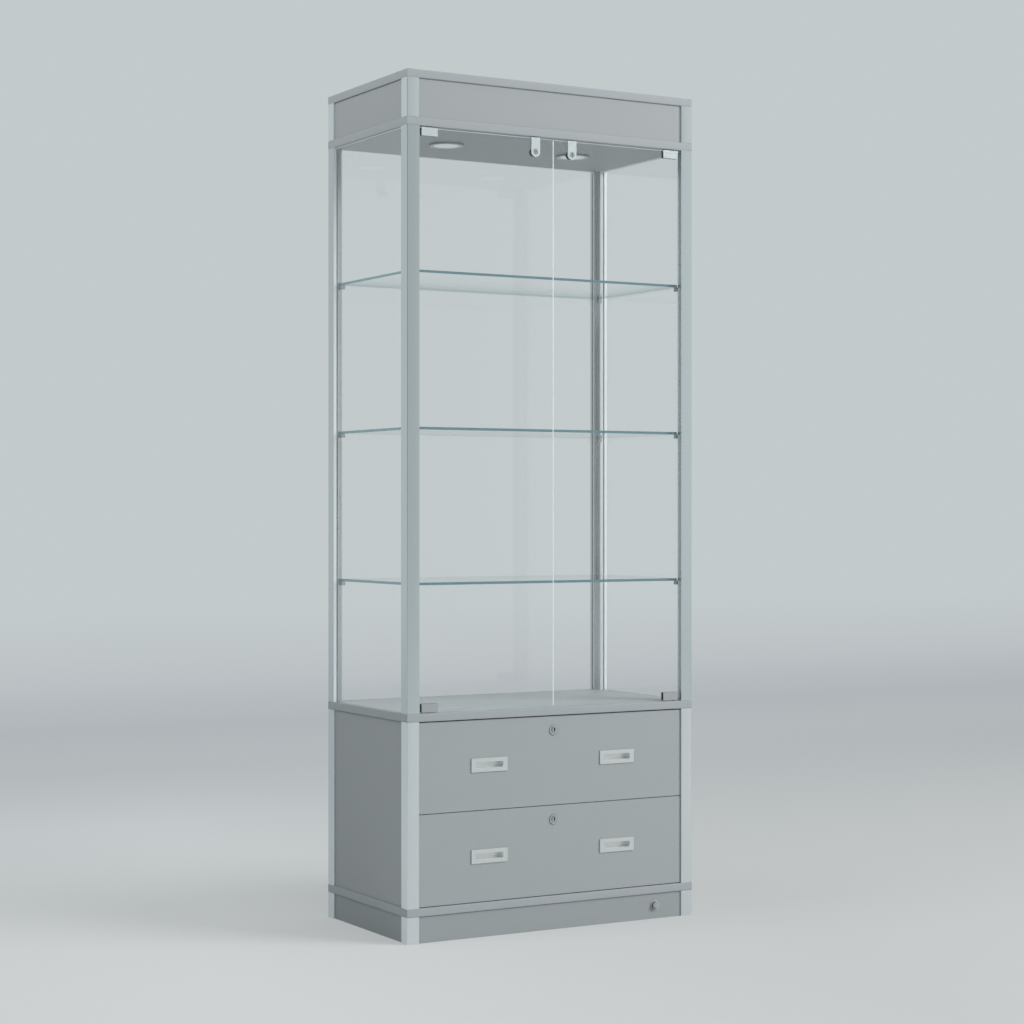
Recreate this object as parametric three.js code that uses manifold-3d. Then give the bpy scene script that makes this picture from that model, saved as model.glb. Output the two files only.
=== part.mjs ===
// A framed glass display cabinet: plinth, two-drawer base, glazed bay with three shelves and two
// glass doors, and a header that carries two downlights.
// Millimetres, +Z up. The origin is on the floor under the middle of the cabinet; the front faces -Y.
import * as THREE from "three";
import { mergeVertices } from "three/addons/utils/BufferGeometryUtils.js";
import Module from "manifold-3d";

const wasm = await Module();
wasm.setup();

// Overall
const WIDTH = 750;
const DEPTH = 402;
const PLINTH_H = 59;
const DRAWER_BAY_H = 408;
const GLASS_BAY_H = 1287;
const HEADER_H = 86;

// Boards and their soft edging
const BOARD_T = 18;
const EDGING_CROWN = 0.8; // how far the middle of the edging stands out past its rims
const EDGING_CURVE = 6; // height of the curve above and below the middle

// Posts
const POST = 30;
const POST_WALL = 2.5;
const POST_CORNER_R = 2;
const POST_LIP = 8; // flat end faces of the glass-bay section, beside its quarter-round

// Panels of the plinth, the drawer bay and the header
const PANEL_T = 16;
const PANEL_RECESS = 4; // behind the post faces
const PLINTH_PANEL_GAP = 1;
const BAY_PANEL_GAP = 1;
const HEADER_PANEL_GAP = 1.5;

// Fixed glass
const PANE_T = 4;
const PANE_SETBACK = 7.3;
const PANE_BITE = 6; // how deep a pane stands in the slot of a post
const SLOT_END_GAP = 1;
const GLASS_FIT = 0.3;

// Glass shelves and the blocks under their corners
const SHELF_T = 6;
const LOWER_SHELF_UP = 286; // top faces above the deck
const MIDDLE_SHELF_UP = 629;
const UPPER_SHELF_UP = 974.5;
const SHELF_SIDE_INSET = 22;
const SHELF_FRONT_INSET = 24.5;
const SHELF_REAR_INSET = 22;
const SHELF_CLIP = 5;
const REST_W = 9;
const REST_H = 9;
const REST_SIDE_INSET = 18;
const REST_END_INSET = 27;
const REST_ROOT = 3; // how far a block runs back into its post

// Glass doors
const DOOR_T = 5;
const DOOR_SETBACK = 6;
const DOOR_SIDE_GAP = 2;
const DOOR_MEET_GAP = 2;
const DOOR_END_GAP = 3.3;

// Patch hinges
const PATCH_L = 40.4;
const PATCH_H = 19;
const PATCH_T = 9.6;
const PATCH_INSET = 5.3; // from the outer edge of the glass
const PATCH_BOARD_GAP = 2;
const PAD_GAP = 0.3; // between a metal jaw and the glass in it
const PIVOT_INSET = 12.3; // pivot axis from the outer edge of the glass
const PIN_D = 8;
const PIN_BITE = 8;
const PIN_FIT = 0.3;
const PIN_END_GAP = 1;

// Locks: one plug size for the doors and the drawers
const PLUG_D = 12;
const PLUG_FIT = 0.3;
const PLUG_PROUD = 0.6;
const HUB_D = 19;
const TONGUE_T = 2.5;
const TONGUE_GAP = 0.3; // between a turning tongue and what it passes
const KEYHOLE_W = 2.2;
const KEYHOLE_H = 7;
const KEYHOLE_DEPTH = 3;

// Door lock cases, hung over the top edge of the glass
const STRAP_W = 22.5;
const STRAP_T = 3.2;
const DOOR_LOCK_FROM_EDGE = 47; // axis from the meeting edge
const DOOR_LOCK_DROP = 30.7; // axis below the top edge of the glass
const SLEEVE_D = 16;
const CASE_RING_D = 19;
const CASE_RING_T = 2.2;
const DOOR_TONGUE_W = 10;
const DOOR_TONGUE_L = 17;
const STRIKE_W = 8;
const STRIKE_FREE = 0.5; // strike behind the glass
const STRIKE_LIFT = 2.5; // strike above the ring of the case

// Drawers
const DRAWER_T = 18;
const DRAWER_RECESS = 4;
const DRAWER_SIDE_GAP = 0.8;
const DRAWER_BOTTOM_GAP = 1.5;
const DRAWER_SPLIT_GAP = 1.5;
const DRAWER_TOP_GAP = 2.5;
const LOWER_FRONT_H = 202;
const TRAY_INSET = 45; // side of a tray from the side face of the cabinet
const TRAY_REAR_GAP = 10; // between a tray and the back panel
const TRAY_DROP = 22; // rim of a tray below the upper edge of its front
const TRAY_UP = 19; // above the lower edge of its front
const TRAY_WALL = 15;
const TRAY_FLOOR = 9;
const GROOVE_UP = 70; // middle of the runner groove above the tray's underside
const GROOVE_DEPTH = 8;
const RUNNER_H = 10;
const RUNNER_FIT = 0.3;
const RUNNER_TIP_GAP = 1;
const RUNNER_END_INSET = 5; // runner from the posts
const RAIL_W = 60;
const RAIL_T = 16;
const RAIL_SETBACK = 1; // behind the drawer fronts
const RAIL_LIFT = 0.5; // above the lower front

// Drawer locks
const DRAWER_LOCK_DOWN = 31; // axis below the top edge of its front
const ROSE_D = 24.5;
const ROSE_T = 2.5;
const DRAWER_TONGUE_BACK = 6; // behind the back of the front
const DRAWER_TONGUE_W = 12;
const DRAWER_TONGUE_L = 38;
const TONGUE_SLOT_DEPTH = 8;
const TONGUE_SLOT_FIT = 0.5;
const TONGUE_SLOT_END_FIT = 2;

// Flush handles
const HANDLE_SPREAD = 168; // from the middle of the front
const PLATE_L = 92;
const PLATE_H = 31;
const PLATE_T = 2.5;
const PLATE_R = 2.5;
const GRIP_L = 70;
const GRIP_H = 13;
const GRIP_R = 3;
const GRIP_DEPTH = 14.5; // from the back of the plate
const GRIP_WALL = 1.8;
const HANDLE_FIT = 0.3;

// Downlights
const LAMP_SPREAD = 170;
const BEZEL_D = 80;
const BEZEL_DROP = 4.5;
const BEZEL_R = 2;
const LENS_D = 58;
const LENS_RECESS = 1.5;
const LAMP_BODY_D = 68;
const LAMP_BODY_H = 50;
const LAMP_FIT = 0.3;

// Push-button switch
const SWITCH_IN = 102; // from the right side face
const SWITCH_UP = 31;
const FLANGE_D = 24;
const FLANGE_T = 1.5;
const COLLAR_D = 20;
const COLLAR_PROUD = 7;
const BUTTON_D = 14;
const BUTTON_PROUD = 1.5;
const BUTTON_L = 16;
const BUTTON_CROWN = 0.2;
const BUTTON_ROUND = 1.4;
const BUTTON_FIT = 0.3;
const BUTTON_TRAVEL = 3;
const SWITCH_BODY_L = 10;
const SWITCH_BODY_WALL = 3;

const ROUND_STEPS = 32;
const OVERCUT = 1; // how far a cutting piece runs past the face it opens

// Levels and faces that follow from the sizes
const HALF_W = WIDTH / 2;
const HALF_D = DEPTH / 2;
const Z_BASE = PLINTH_H;
const Z_BAY = Z_BASE + BOARD_T;
const Z_DECK = Z_BAY + DRAWER_BAY_H;
const Z_GLASS = Z_DECK + BOARD_T;
const Z_CEILING = Z_GLASS + GLASS_BAY_H;
const Z_HEADER = Z_CEILING + BOARD_T;
const Z_TOP = Z_HEADER + HEADER_H;
const HEIGHT = Z_TOP + BOARD_T;

const SHELF_LEVELS = [LOWER_SHELF_UP, MIDDLE_SHELF_UP, UPPER_SHELF_UP];

const SIDES = [["left", -1], ["right", 1]];
const ENDS = [["front", -1], ["rear", 1]];

// A place measured inwards from a side face, or from the front or rear face.
const fromSide = (side, inset) => side * (HALF_W - inset);
const fromEnd = (end, inset) => end * (HALF_D - inset);

// ---- Materials ----
const look = (color, roughness, metalness, more = {}) =>
  new THREE.MeshStandardMaterial({ color, roughness, metalness, ...more });
const aluminium = look(0xc6cdcf, 0.35, 0.9);
const boardGrey = look(0x9aa1a3, 0.65, 0);
const panelGrey = look(0x959b9e, 0.6, 0);
const frontGrey = look(0x93999c, 0.55, 0);
const trayGrey = look(0xb4b8b8, 0.7, 0);
const clearGlass = look(0xe2eeee, 0.05, 0, { transparent: true, opacity: 0.15 });
const shelfGlass = look(0x9fd0d4, 0.05, 0, { transparent: true, opacity: 0.35 });
const satinSteel = look(0xd2d7d8, 0.3, 0.8);
const lampWhite = look(0xdfe4e4, 0.4, 0.1);
const darkSteel = look(0x6a7073, 0.4, 0.7);

// ---- Solids ----
// Spreads a geometry along one axis so that its ends lie exactly on lo and hi.
function spread(geometry, axis, lo, hi) {
  geometry.computeBoundingBox();
  const a = geometry.boundingBox.min.getComponent(axis);
  const b = geometry.boundingBox.max.getComponent(axis);
  const p = geometry.attributes.position;
  for (let i = 0; i < p.count; i += 1) {
    const t = (p.getComponent(i, axis) - a) / (b - a);
    p.setComponent(i, axis, (1 - t) * lo + t * hi);
  }
  return geometry;
}

function block(xs, ys, zs) {
  const geometry = new THREE.BoxGeometry(1, 1, 1);
  [xs, ys, zs].forEach((pair, axis) =>
    spread(geometry, axis, Math.min(...pair), Math.max(...pair)));
  return geometry;
}

// An outline in x and y, drawn out from z0 to z1.
function prism(outline, z0, z1) {
  const geometry = new THREE.ExtrudeGeometry(outline, {
    depth: 1,
    bevelEnabled: false,
    curveSegments: 6,
  });
  return spread(geometry, 2, z0, z1);
}

// An outline in x and z, drawn out from y0 to y1.
function upright(outline, y0, y1) {
  const geometry = prism(outline, -y1, -y0);
  return geometry.rotateX(Math.PI / 2);
}

// A profile of [radius, y] points, turned about the Y axis.
function turnedY(profile) {
  const points = profile.map(([r, y]) => new THREE.Vector2(r, y));
  return new THREE.LatheGeometry(points, ROUND_STEPS);
}

// A profile of [radius, z] points, turned about the Z axis.
const turnedZ = (profile) => turnedY(profile).rotateX(Math.PI / 2);

const rodY = (d, y0, y1) => turnedY([[0, y0], [d / 2, y0], [d / 2, y1], [0, y1]]);
const rodZ = (d, z0, z1) => turnedZ([[0, z0], [d / 2, z0], [d / 2, z1], [0, z1]]);

function roundedRect(shape, x0, y0, x1, y1, r) {
  shape.moveTo(x0 + r, y0);
  shape.lineTo(x1 - r, y0);
  shape.absarc(x1 - r, y0 + r, r, -Math.PI / 2, 0);
  shape.lineTo(x1, y1 - r);
  shape.absarc(x1 - r, y1 - r, r, 0, Math.PI / 2);
  shape.lineTo(x0 + r, y1);
  shape.absarc(x0 + r, y1 - r, r, Math.PI / 2, Math.PI);
  shape.lineTo(x0, y0 + r);
  shape.absarc(x0 + r, y0 + r, r, Math.PI, Math.PI * 1.5);
  return shape;
}

const outlineOf = (points) =>
  new THREE.Shape(points.map(([x, y]) => new THREE.Vector2(x, y)));

function solid(geometry) {
  const plain = geometry.clone();
  plain.deleteAttribute("normal");
  plain.deleteAttribute("uv");
  const merged = mergeVertices(plain);
  return new wasm.Manifold(new wasm.Mesh({
    numProp: 3,
    vertProperties: merged.attributes.position.array,
    triVerts: new Uint32Array(merged.index.array),
  }));
}

// Joins the pieces of `added` to a body, then cuts the pieces of `removed` out of it.
function carve(body, added, removed) {
  let result = solid(body);
  for (const piece of added) result = result.add(solid(piece));
  for (const piece of removed) result = result.subtract(solid(piece));
  const out = result.getMesh();
  const geometry = new THREE.BufferGeometry();
  const positions = new Float32Array(out.vertProperties);
  geometry.setAttribute("position", new THREE.BufferAttribute(positions, 3));
  geometry.setIndex(new THREE.BufferAttribute(new Uint32Array(out.triVerts), 1));
  geometry.computeVertexNormals();
  return geometry;
}

function put(parent, name, geometry, material, place = [0, 0, 0]) {
  const mesh = new THREE.Mesh(geometry, material);
  mesh.name = name;
  mesh.position.set(...place);
  parent.add(mesh);
  return mesh;
}

function groupAt(parent, x, y, z) {
  const group = new THREE.Group();
  group.position.set(x, y, z);
  parent.add(group);
  return group;
}

const cabinet = new THREE.Group();

// ---- Boards ----
// A board out to the faces of the posts, with a soft crowned edge and mitred corners.
function board(z0) {
  const outline = outlineOf([
    [-HALF_W, -HALF_D], [HALF_W, -HALF_D], [HALF_W, HALF_D], [-HALF_W, HALF_D],
  ]);
  const geometry = new THREE.ExtrudeGeometry(outline, {
    depth: BOARD_T - 2 * EDGING_CURVE,
    bevelThickness: EDGING_CURVE,
    bevelSize: EDGING_CROWN,
    bevelOffset: -EDGING_CROWN,
    bevelSegments: 4,
  });
  return spread(geometry, 2, z0, z0 + BOARD_T);
}

// Door pivots and door locks, which the boards share with the doors
const PIVOT_FROM_SIDE = POST + DOOR_SIDE_GAP + PIVOT_INSET;
const DOOR_MID = DOOR_SETBACK + DOOR_T / 2;
const DOOR_LOCK_X = DOOR_MEET_GAP / 2 + DOOR_LOCK_FROM_EDGE;
const DOOR_LOCK_Z = GLASS_BAY_H - DOOR_END_GAP - DOOR_LOCK_DROP; // above the deck
const JAW = DOOR_T / 2 + PAD_GAP; // inner faces of the jaws from the middle of the glass
const CASE_BACK = JAW + CASE_RING_T;
const DOOR_TONGUE_Y = CASE_BACK + TONGUE_GAP;

const pinHole = (side, z0, z1) => rodZ(PIN_D + 2 * PIN_FIT, z0, z1)
  .translate(fromSide(side, PIVOT_FROM_SIDE), fromEnd(-1, DOOR_MID), 0);
const PIN_HOLE_DEPTH = PIN_BITE + PIN_END_GAP;

// Drawer fronts, from the base board up
const FRONT_BACK = DRAWER_RECESS + DRAWER_T; // back face, from the front plane
const lowerFrontZ = Z_BAY + DRAWER_BOTTOM_GAP;
const upperFrontZ = lowerFrontZ + LOWER_FRONT_H + DRAWER_SPLIT_GAP;
const upperFrontH = Z_DECK - DRAWER_TOP_GAP - upperFrontZ;
const DRAWERS = [["lower", lowerFrontZ, LOWER_FRONT_H], ["upper", upperFrontZ, upperFrontH]];
const RAIL_Z = lowerFrontZ + LOWER_FRONT_H + RAIL_LIFT;
const DRAWER_TONGUE_Y = FRONT_BACK + DRAWER_TONGUE_BACK;

// The slot that a drawer lock's tongue turns up into, in the underside at height `z`.
function tongueSlot(frontZ, frontH, z) {
  const rise = z - (frontZ + frontH - DRAWER_LOCK_DOWN);
  const reach = Math.hypot(DRAWER_TONGUE_L, DRAWER_TONGUE_W / 2);
  const entry = Math.sqrt(Math.max(reach * reach - rise * rise, 0));
  const half = DRAWER_TONGUE_W / 2;
  return block(
    [-half - TONGUE_SLOT_END_FIT, Math.max(entry, half) + TONGUE_SLOT_END_FIT],
    [fromEnd(-1, DRAWER_TONGUE_Y - TONGUE_SLOT_FIT),
      fromEnd(-1, DRAWER_TONGUE_Y + TONGUE_T + TONGUE_SLOT_FIT)],
    [z - OVERCUT, z + TONGUE_SLOT_DEPTH],
  );
}

put(cabinet, "base_board", board(Z_BASE), boardGrey);

put(cabinet, "deck_board", carve(board(Z_DECK), [], [
  ...SIDES.map(([, side]) => pinHole(side, Z_GLASS - PIN_HOLE_DEPTH, Z_GLASS + OVERCUT)),
  tongueSlot(upperFrontZ, upperFrontH, Z_DECK),
]), boardGrey);

// The ceiling board carries the two strikes that the door locks turn behind.
const strike = (side) => block(
  [side * DOOR_LOCK_X - STRIKE_W / 2, side * DOOR_LOCK_X + STRIKE_W / 2],
  [fromEnd(-1, DOOR_MID + DOOR_T / 2 + STRIKE_FREE),
    fromEnd(-1, DOOR_MID + DOOR_TONGUE_Y - TONGUE_GAP)],
  [Z_GLASS + DOOR_LOCK_Z + CASE_RING_D / 2 + STRIKE_LIFT, Z_CEILING + OVERCUT],
);
const lampHole = (side) => rodZ(LAMP_BODY_D + 2 * LAMP_FIT, Z_CEILING - OVERCUT, Z_HEADER + OVERCUT)
  .translate(side * LAMP_SPREAD, 0, 0);
put(cabinet, "ceiling_board", carve(
  board(Z_CEILING),
  SIDES.map(([, side]) => strike(side)),
  SIDES.flatMap(([, side]) => [
    pinHole(side, Z_CEILING - OVERCUT, Z_CEILING + PIN_HOLE_DEPTH),
    lampHole(side),
  ]),
), boardGrey);

put(cabinet, "top_board", board(Z_TOP), boardGrey);

// ---- Posts ----
// The square hollow section used in the plinth, the drawer bay and the header.
function squarePost(side, end, z0, z1) {
  const xs = [fromSide(side, 0), fromSide(side, POST)].sort((a, b) => a - b);
  const ys = [fromEnd(end, 0), fromEnd(end, POST)].sort((a, b) => a - b);
  const outline = new THREE.Shape();
  roundedRect(outline, xs[0], ys[0], xs[1], ys[1], POST_CORNER_R);
  outline.holes.push(outlineOf([
    [xs[0] + POST_WALL, ys[0] + POST_WALL],
    [xs[0] + POST_WALL, ys[1] - POST_WALL],
    [xs[1] - POST_WALL, ys[1] - POST_WALL],
    [xs[1] - POST_WALL, ys[0] + POST_WALL],
  ]));
  return prism(outline, z0, z1);
}

// The glass-bay section: two outer flats, a quarter-round inner side, and a glazing slot in each
// end face that takes a pane. (u, v) are measured inwards from the outer corner.
const SLOT_LOW = PANE_SETBACK - GLASS_FIT;
const SLOT_HIGH = PANE_SETBACK + PANE_T + GLASS_FIT;
const SLOT_BOTTOM = POST - PANE_BITE - SLOT_END_GAP;
function glassPost(side, end) {
  const place = ([u, v]) => [fromSide(side, u), fromEnd(end, v)];
  const r = POST - POST_LIP;
  const points = [];
  const corner = POST_CORNER_R;
  for (let i = 0; i <= 4; i += 1) {
    const a = (i / 4) * (Math.PI / 2);
    points.push([corner - corner * Math.cos(a), corner - corner * Math.sin(a)]);
  }
  points.push([POST, 0]);
  for (let i = 0; i <= 12; i += 1) {
    const a = (i / 12) * (Math.PI / 2);
    points.push([POST_LIP + r * Math.cos(a), POST_LIP + r * Math.sin(a)]);
  }
  points.push([0, POST]);
  const outline = outlineOf(points.map(place));
  const low = POST_WALL;
  const high = SLOT_BOTTOM - POST_WALL;
  outline.holes.push(outlineOf([[low, low], [low, high], [high, high], [high, low]].map(place)));

  const rests = SHELF_LEVELS.map((level) => block(
    [fromSide(side, REST_SIDE_INSET), fromSide(side, REST_SIDE_INSET + REST_W)],
    [fromEnd(end, REST_END_INSET - REST_ROOT), fromEnd(end, REST_END_INSET + REST_W)],
    [Z_GLASS + level - SHELF_T - REST_H, Z_GLASS + level - SHELF_T],
  ));
  const slot = [[SLOT_LOW, SLOT_BOTTOM], [SLOT_HIGH, POST + OVERCUT]];
  const zs = [Z_GLASS - OVERCUT, Z_CEILING + OVERCUT];
  const slots = [block(
    slot.map(([u]) => fromSide(side, u)),
    slot.map(([, v]) => fromEnd(end, v)),
    zs,
  )];
  if (end > 0) {
    slots.push(block(
      slot.map(([, v]) => fromSide(side, v)),
      slot.map(([u]) => fromEnd(end, u)),
      zs,
    ));
  }
  return carve(prism(outline, Z_GLASS, Z_CEILING), rests, slots);
}

for (const [endName, end] of ENDS) {
  for (const [sideName, side] of SIDES) {
    const corner = `${endName}_${sideName}`;
    put(cabinet, `plinth_post_${corner}`, squarePost(side, end, 0, Z_BASE), aluminium);
    put(cabinet, `drawer_bay_post_${corner}`, squarePost(side, end, Z_BAY, Z_DECK), aluminium);
    put(cabinet, `glass_bay_post_${corner}`, glassPost(side, end), aluminium);
    put(cabinet, `header_post_${corner}`, squarePost(side, end, Z_HEADER, Z_TOP), aluminium);
  }
}

// ---- Panels ----
const endPanel = (end, z0, z1) => block(
  [fromSide(-1, POST), fromSide(1, POST)],
  [fromEnd(end, PANEL_RECESS), fromEnd(end, PANEL_RECESS + PANEL_T)],
  [z0, z1],
);
const sidePanel = (side, z0, z1) => block(
  [fromSide(side, PANEL_RECESS), fromSide(side, PANEL_RECESS + PANEL_T)],
  [fromEnd(-1, POST), fromEnd(1, POST)],
  [z0, z1],
);

// The fixed collar of the switch stands on the front plinth panel, with its body behind it.
const SWITCH_X = fromSide(1, SWITCH_IN);
const SWITCH_FACE = fromEnd(-1, PANEL_RECESS);
const BORE_D = BUTTON_D + 2 * BUTTON_FIT;
const BUTTON_FRONT = -COLLAR_PROUD - BUTTON_PROUD; // from the panel's face
const BORE_END = Math.max(BUTTON_FRONT + BUTTON_L, PANEL_T) + BUTTON_TRAVEL + BUTTON_FIT;
const atSwitch = (geometry) => geometry.translate(SWITCH_X, SWITCH_FACE, SWITCH_UP);
const plinthTop = Z_BASE - PLINTH_PANEL_GAP;
put(cabinet, "plinth_panel_front", carve(
  endPanel(-1, 0, plinthTop),
  [
    atSwitch(rodY(FLANGE_D, -FLANGE_T, PANEL_T / 2)),
    atSwitch(rodY(COLLAR_D, -COLLAR_PROUD, PANEL_T / 2)),
    atSwitch(rodY(BORE_D + 2 * SWITCH_BODY_WALL, PANEL_T / 2, PANEL_T + SWITCH_BODY_L)),
  ],
  [atSwitch(rodY(BORE_D, -COLLAR_PROUD - OVERCUT, BORE_END))],
), panelGrey);
put(cabinet, "switch_cap", turnedY([
  [0, BUTTON_FRONT],
  [BUTTON_D / 2 - BUTTON_ROUND, BUTTON_FRONT + BUTTON_CROWN],
  [BUTTON_D / 2 - BUTTON_ROUND * 0.3, BUTTON_FRONT + BUTTON_CROWN + BUTTON_ROUND * 0.3],
  [BUTTON_D / 2, BUTTON_FRONT + BUTTON_CROWN + BUTTON_ROUND],
  [BUTTON_D / 2, BUTTON_FRONT + BUTTON_L],
  [0, BUTTON_FRONT + BUTTON_L],
]), darkSteel, [SWITCH_X, SWITCH_FACE, SWITCH_UP]);

put(cabinet, "plinth_panel_rear", endPanel(1, 0, plinthTop), panelGrey);
put(cabinet, "back_panel", endPanel(1, Z_BAY, Z_DECK - BAY_PANEL_GAP), panelGrey);
for (const [endName, end] of ENDS) {
  put(cabinet, `header_panel_${endName}`,
    endPanel(end, Z_HEADER, Z_TOP - HEADER_PANEL_GAP), panelGrey);
}

// Runner battens on the side panels of the drawer bay, one for each drawer, and the cross rail
// between the fronts, which is fixed to the left side panel and meets the right one.
const PANEL_INSIDE = PANEL_RECESS + PANEL_T;
const runner = (side, frontZ) => {
  const middle = frontZ + TRAY_UP + GROOVE_UP;
  return block(
    [fromSide(side, PANEL_INSIDE - PANEL_T / 4),
      fromSide(side, TRAY_INSET + GROOVE_DEPTH - RUNNER_TIP_GAP)],
    [fromEnd(-1, POST + RUNNER_END_INSET), fromEnd(1, POST + RUNNER_END_INSET)],
    [middle - RUNNER_H / 2, middle + RUNNER_H / 2],
  );
};
const rail = block(
  [fromSide(-1, PANEL_INSIDE), fromSide(1, PANEL_INSIDE)],
  [fromEnd(-1, POST), fromEnd(-1, FRONT_BACK + RAIL_SETBACK + RAIL_W)],
  [RAIL_Z, RAIL_Z + RAIL_T],
);
const railNose = block(
  [fromSide(-1, POST), fromSide(1, POST)],
  [fromEnd(-1, FRONT_BACK + RAIL_SETBACK), fromEnd(-1, POST + OVERCUT)],
  [RAIL_Z, RAIL_Z + RAIL_T],
);
for (const [sideName, side] of SIDES) {
  put(cabinet, `plinth_panel_${sideName}`, sidePanel(side, 0, plinthTop), panelGrey);
  put(cabinet, `header_panel_${sideName}`,
    sidePanel(side, Z_HEADER, Z_TOP - HEADER_PANEL_GAP), panelGrey);
  const runners = DRAWERS.map(([, frontZ]) => runner(side, frontZ));
  const isLeft = side < 0;
  put(cabinet, `side_panel_${sideName}`, carve(
    sidePanel(side, Z_BAY, Z_DECK - BAY_PANEL_GAP),
    isLeft ? [...runners, rail, railNose] : runners,
    isLeft ? [tongueSlot(lowerFrontZ, LOWER_FRONT_H, RAIL_Z)] : [],
  ), panelGrey);
}

// ---- Fixed glass ----
const PANE_END = POST - PANE_BITE;
for (const [sideName, side] of SIDES) {
  put(cabinet, `glass_pane_${sideName}`, block(
    [fromSide(side, PANE_SETBACK), fromSide(side, PANE_SETBACK + PANE_T)],
    [fromEnd(-1, PANE_END), fromEnd(1, PANE_END)],
    [Z_GLASS, Z_CEILING],
  ), clearGlass);
}
put(cabinet, "glass_pane_rear", block(
  [fromSide(-1, PANE_END), fromSide(1, PANE_END)],
  [fromEnd(1, PANE_SETBACK), fromEnd(1, PANE_SETBACK + PANE_T)],
  [Z_GLASS, Z_CEILING],
), clearGlass);

// ---- Shelves ----
const shelfOutline = () => {
  const x = fromSide(1, SHELF_SIDE_INSET);
  const front = fromEnd(-1, SHELF_FRONT_INSET);
  const rear = fromEnd(1, SHELF_REAR_INSET);
  const c = SHELF_CLIP;
  return outlineOf([
    [-x + c, front], [x - c, front], [x, front + c], [x, rear - c],
    [x - c, rear], [-x + c, rear], [-x, rear - c], [-x, front + c],
  ]);
};
["lower", "middle", "upper"].forEach((name, i) => {
  const top = Z_GLASS + SHELF_LEVELS[i];
  put(cabinet, `shelf_${name}`, prism(shelfOutline(), top - SHELF_T, top), shelfGlass);
});

// ---- Downlights ----
for (const [sideName, side] of SIDES) {
  put(cabinet, `downlight_${sideName}`, turnedZ([
    [0, -BEZEL_DROP + LENS_RECESS],
    [LENS_D / 2, -BEZEL_DROP + LENS_RECESS],
    [LENS_D / 2, -BEZEL_DROP],
    [BEZEL_D / 2 - BEZEL_R, -BEZEL_DROP],
    [BEZEL_D / 2 - BEZEL_R * 0.3, -BEZEL_DROP + BEZEL_R * 0.3],
    [BEZEL_D / 2, -BEZEL_DROP + BEZEL_R],
    [BEZEL_D / 2, -LAMP_FIT],
    [LAMP_BODY_D / 2, -LAMP_FIT],
    [LAMP_BODY_D / 2, LAMP_BODY_H],
    [0, LAMP_BODY_H],
  ]), lampWhite, [side * LAMP_SPREAD, 0, Z_CEILING]);
}

// ---- Lock plugs ----
// A key plug along Y, from its face at y0 to the tongue behind it. The tongue points along +X and
// turns up to lock.
function lockPlug(y0, tongueY, tongueL, tongueW) {
  const half = tongueW / 2;
  const bar = upright(outlineOf([
    [0, -half], [tongueL, -half], [tongueL, half], [0, half],
  ]), tongueY, tongueY + TONGUE_T);
  const keyhole = block(
    [-KEYHOLE_W / 2, KEYHOLE_W / 2],
    [y0 - OVERCUT, y0 + KEYHOLE_DEPTH],
    [-KEYHOLE_H / 2, KEYHOLE_H / 2],
  );
  return carve(
    rodY(PLUG_D, y0, tongueY + TONGUE_T / 2),
    [rodY(HUB_D, tongueY, tongueY + TONGUE_T), bar],
    [keyhole],
  );
}

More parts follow.
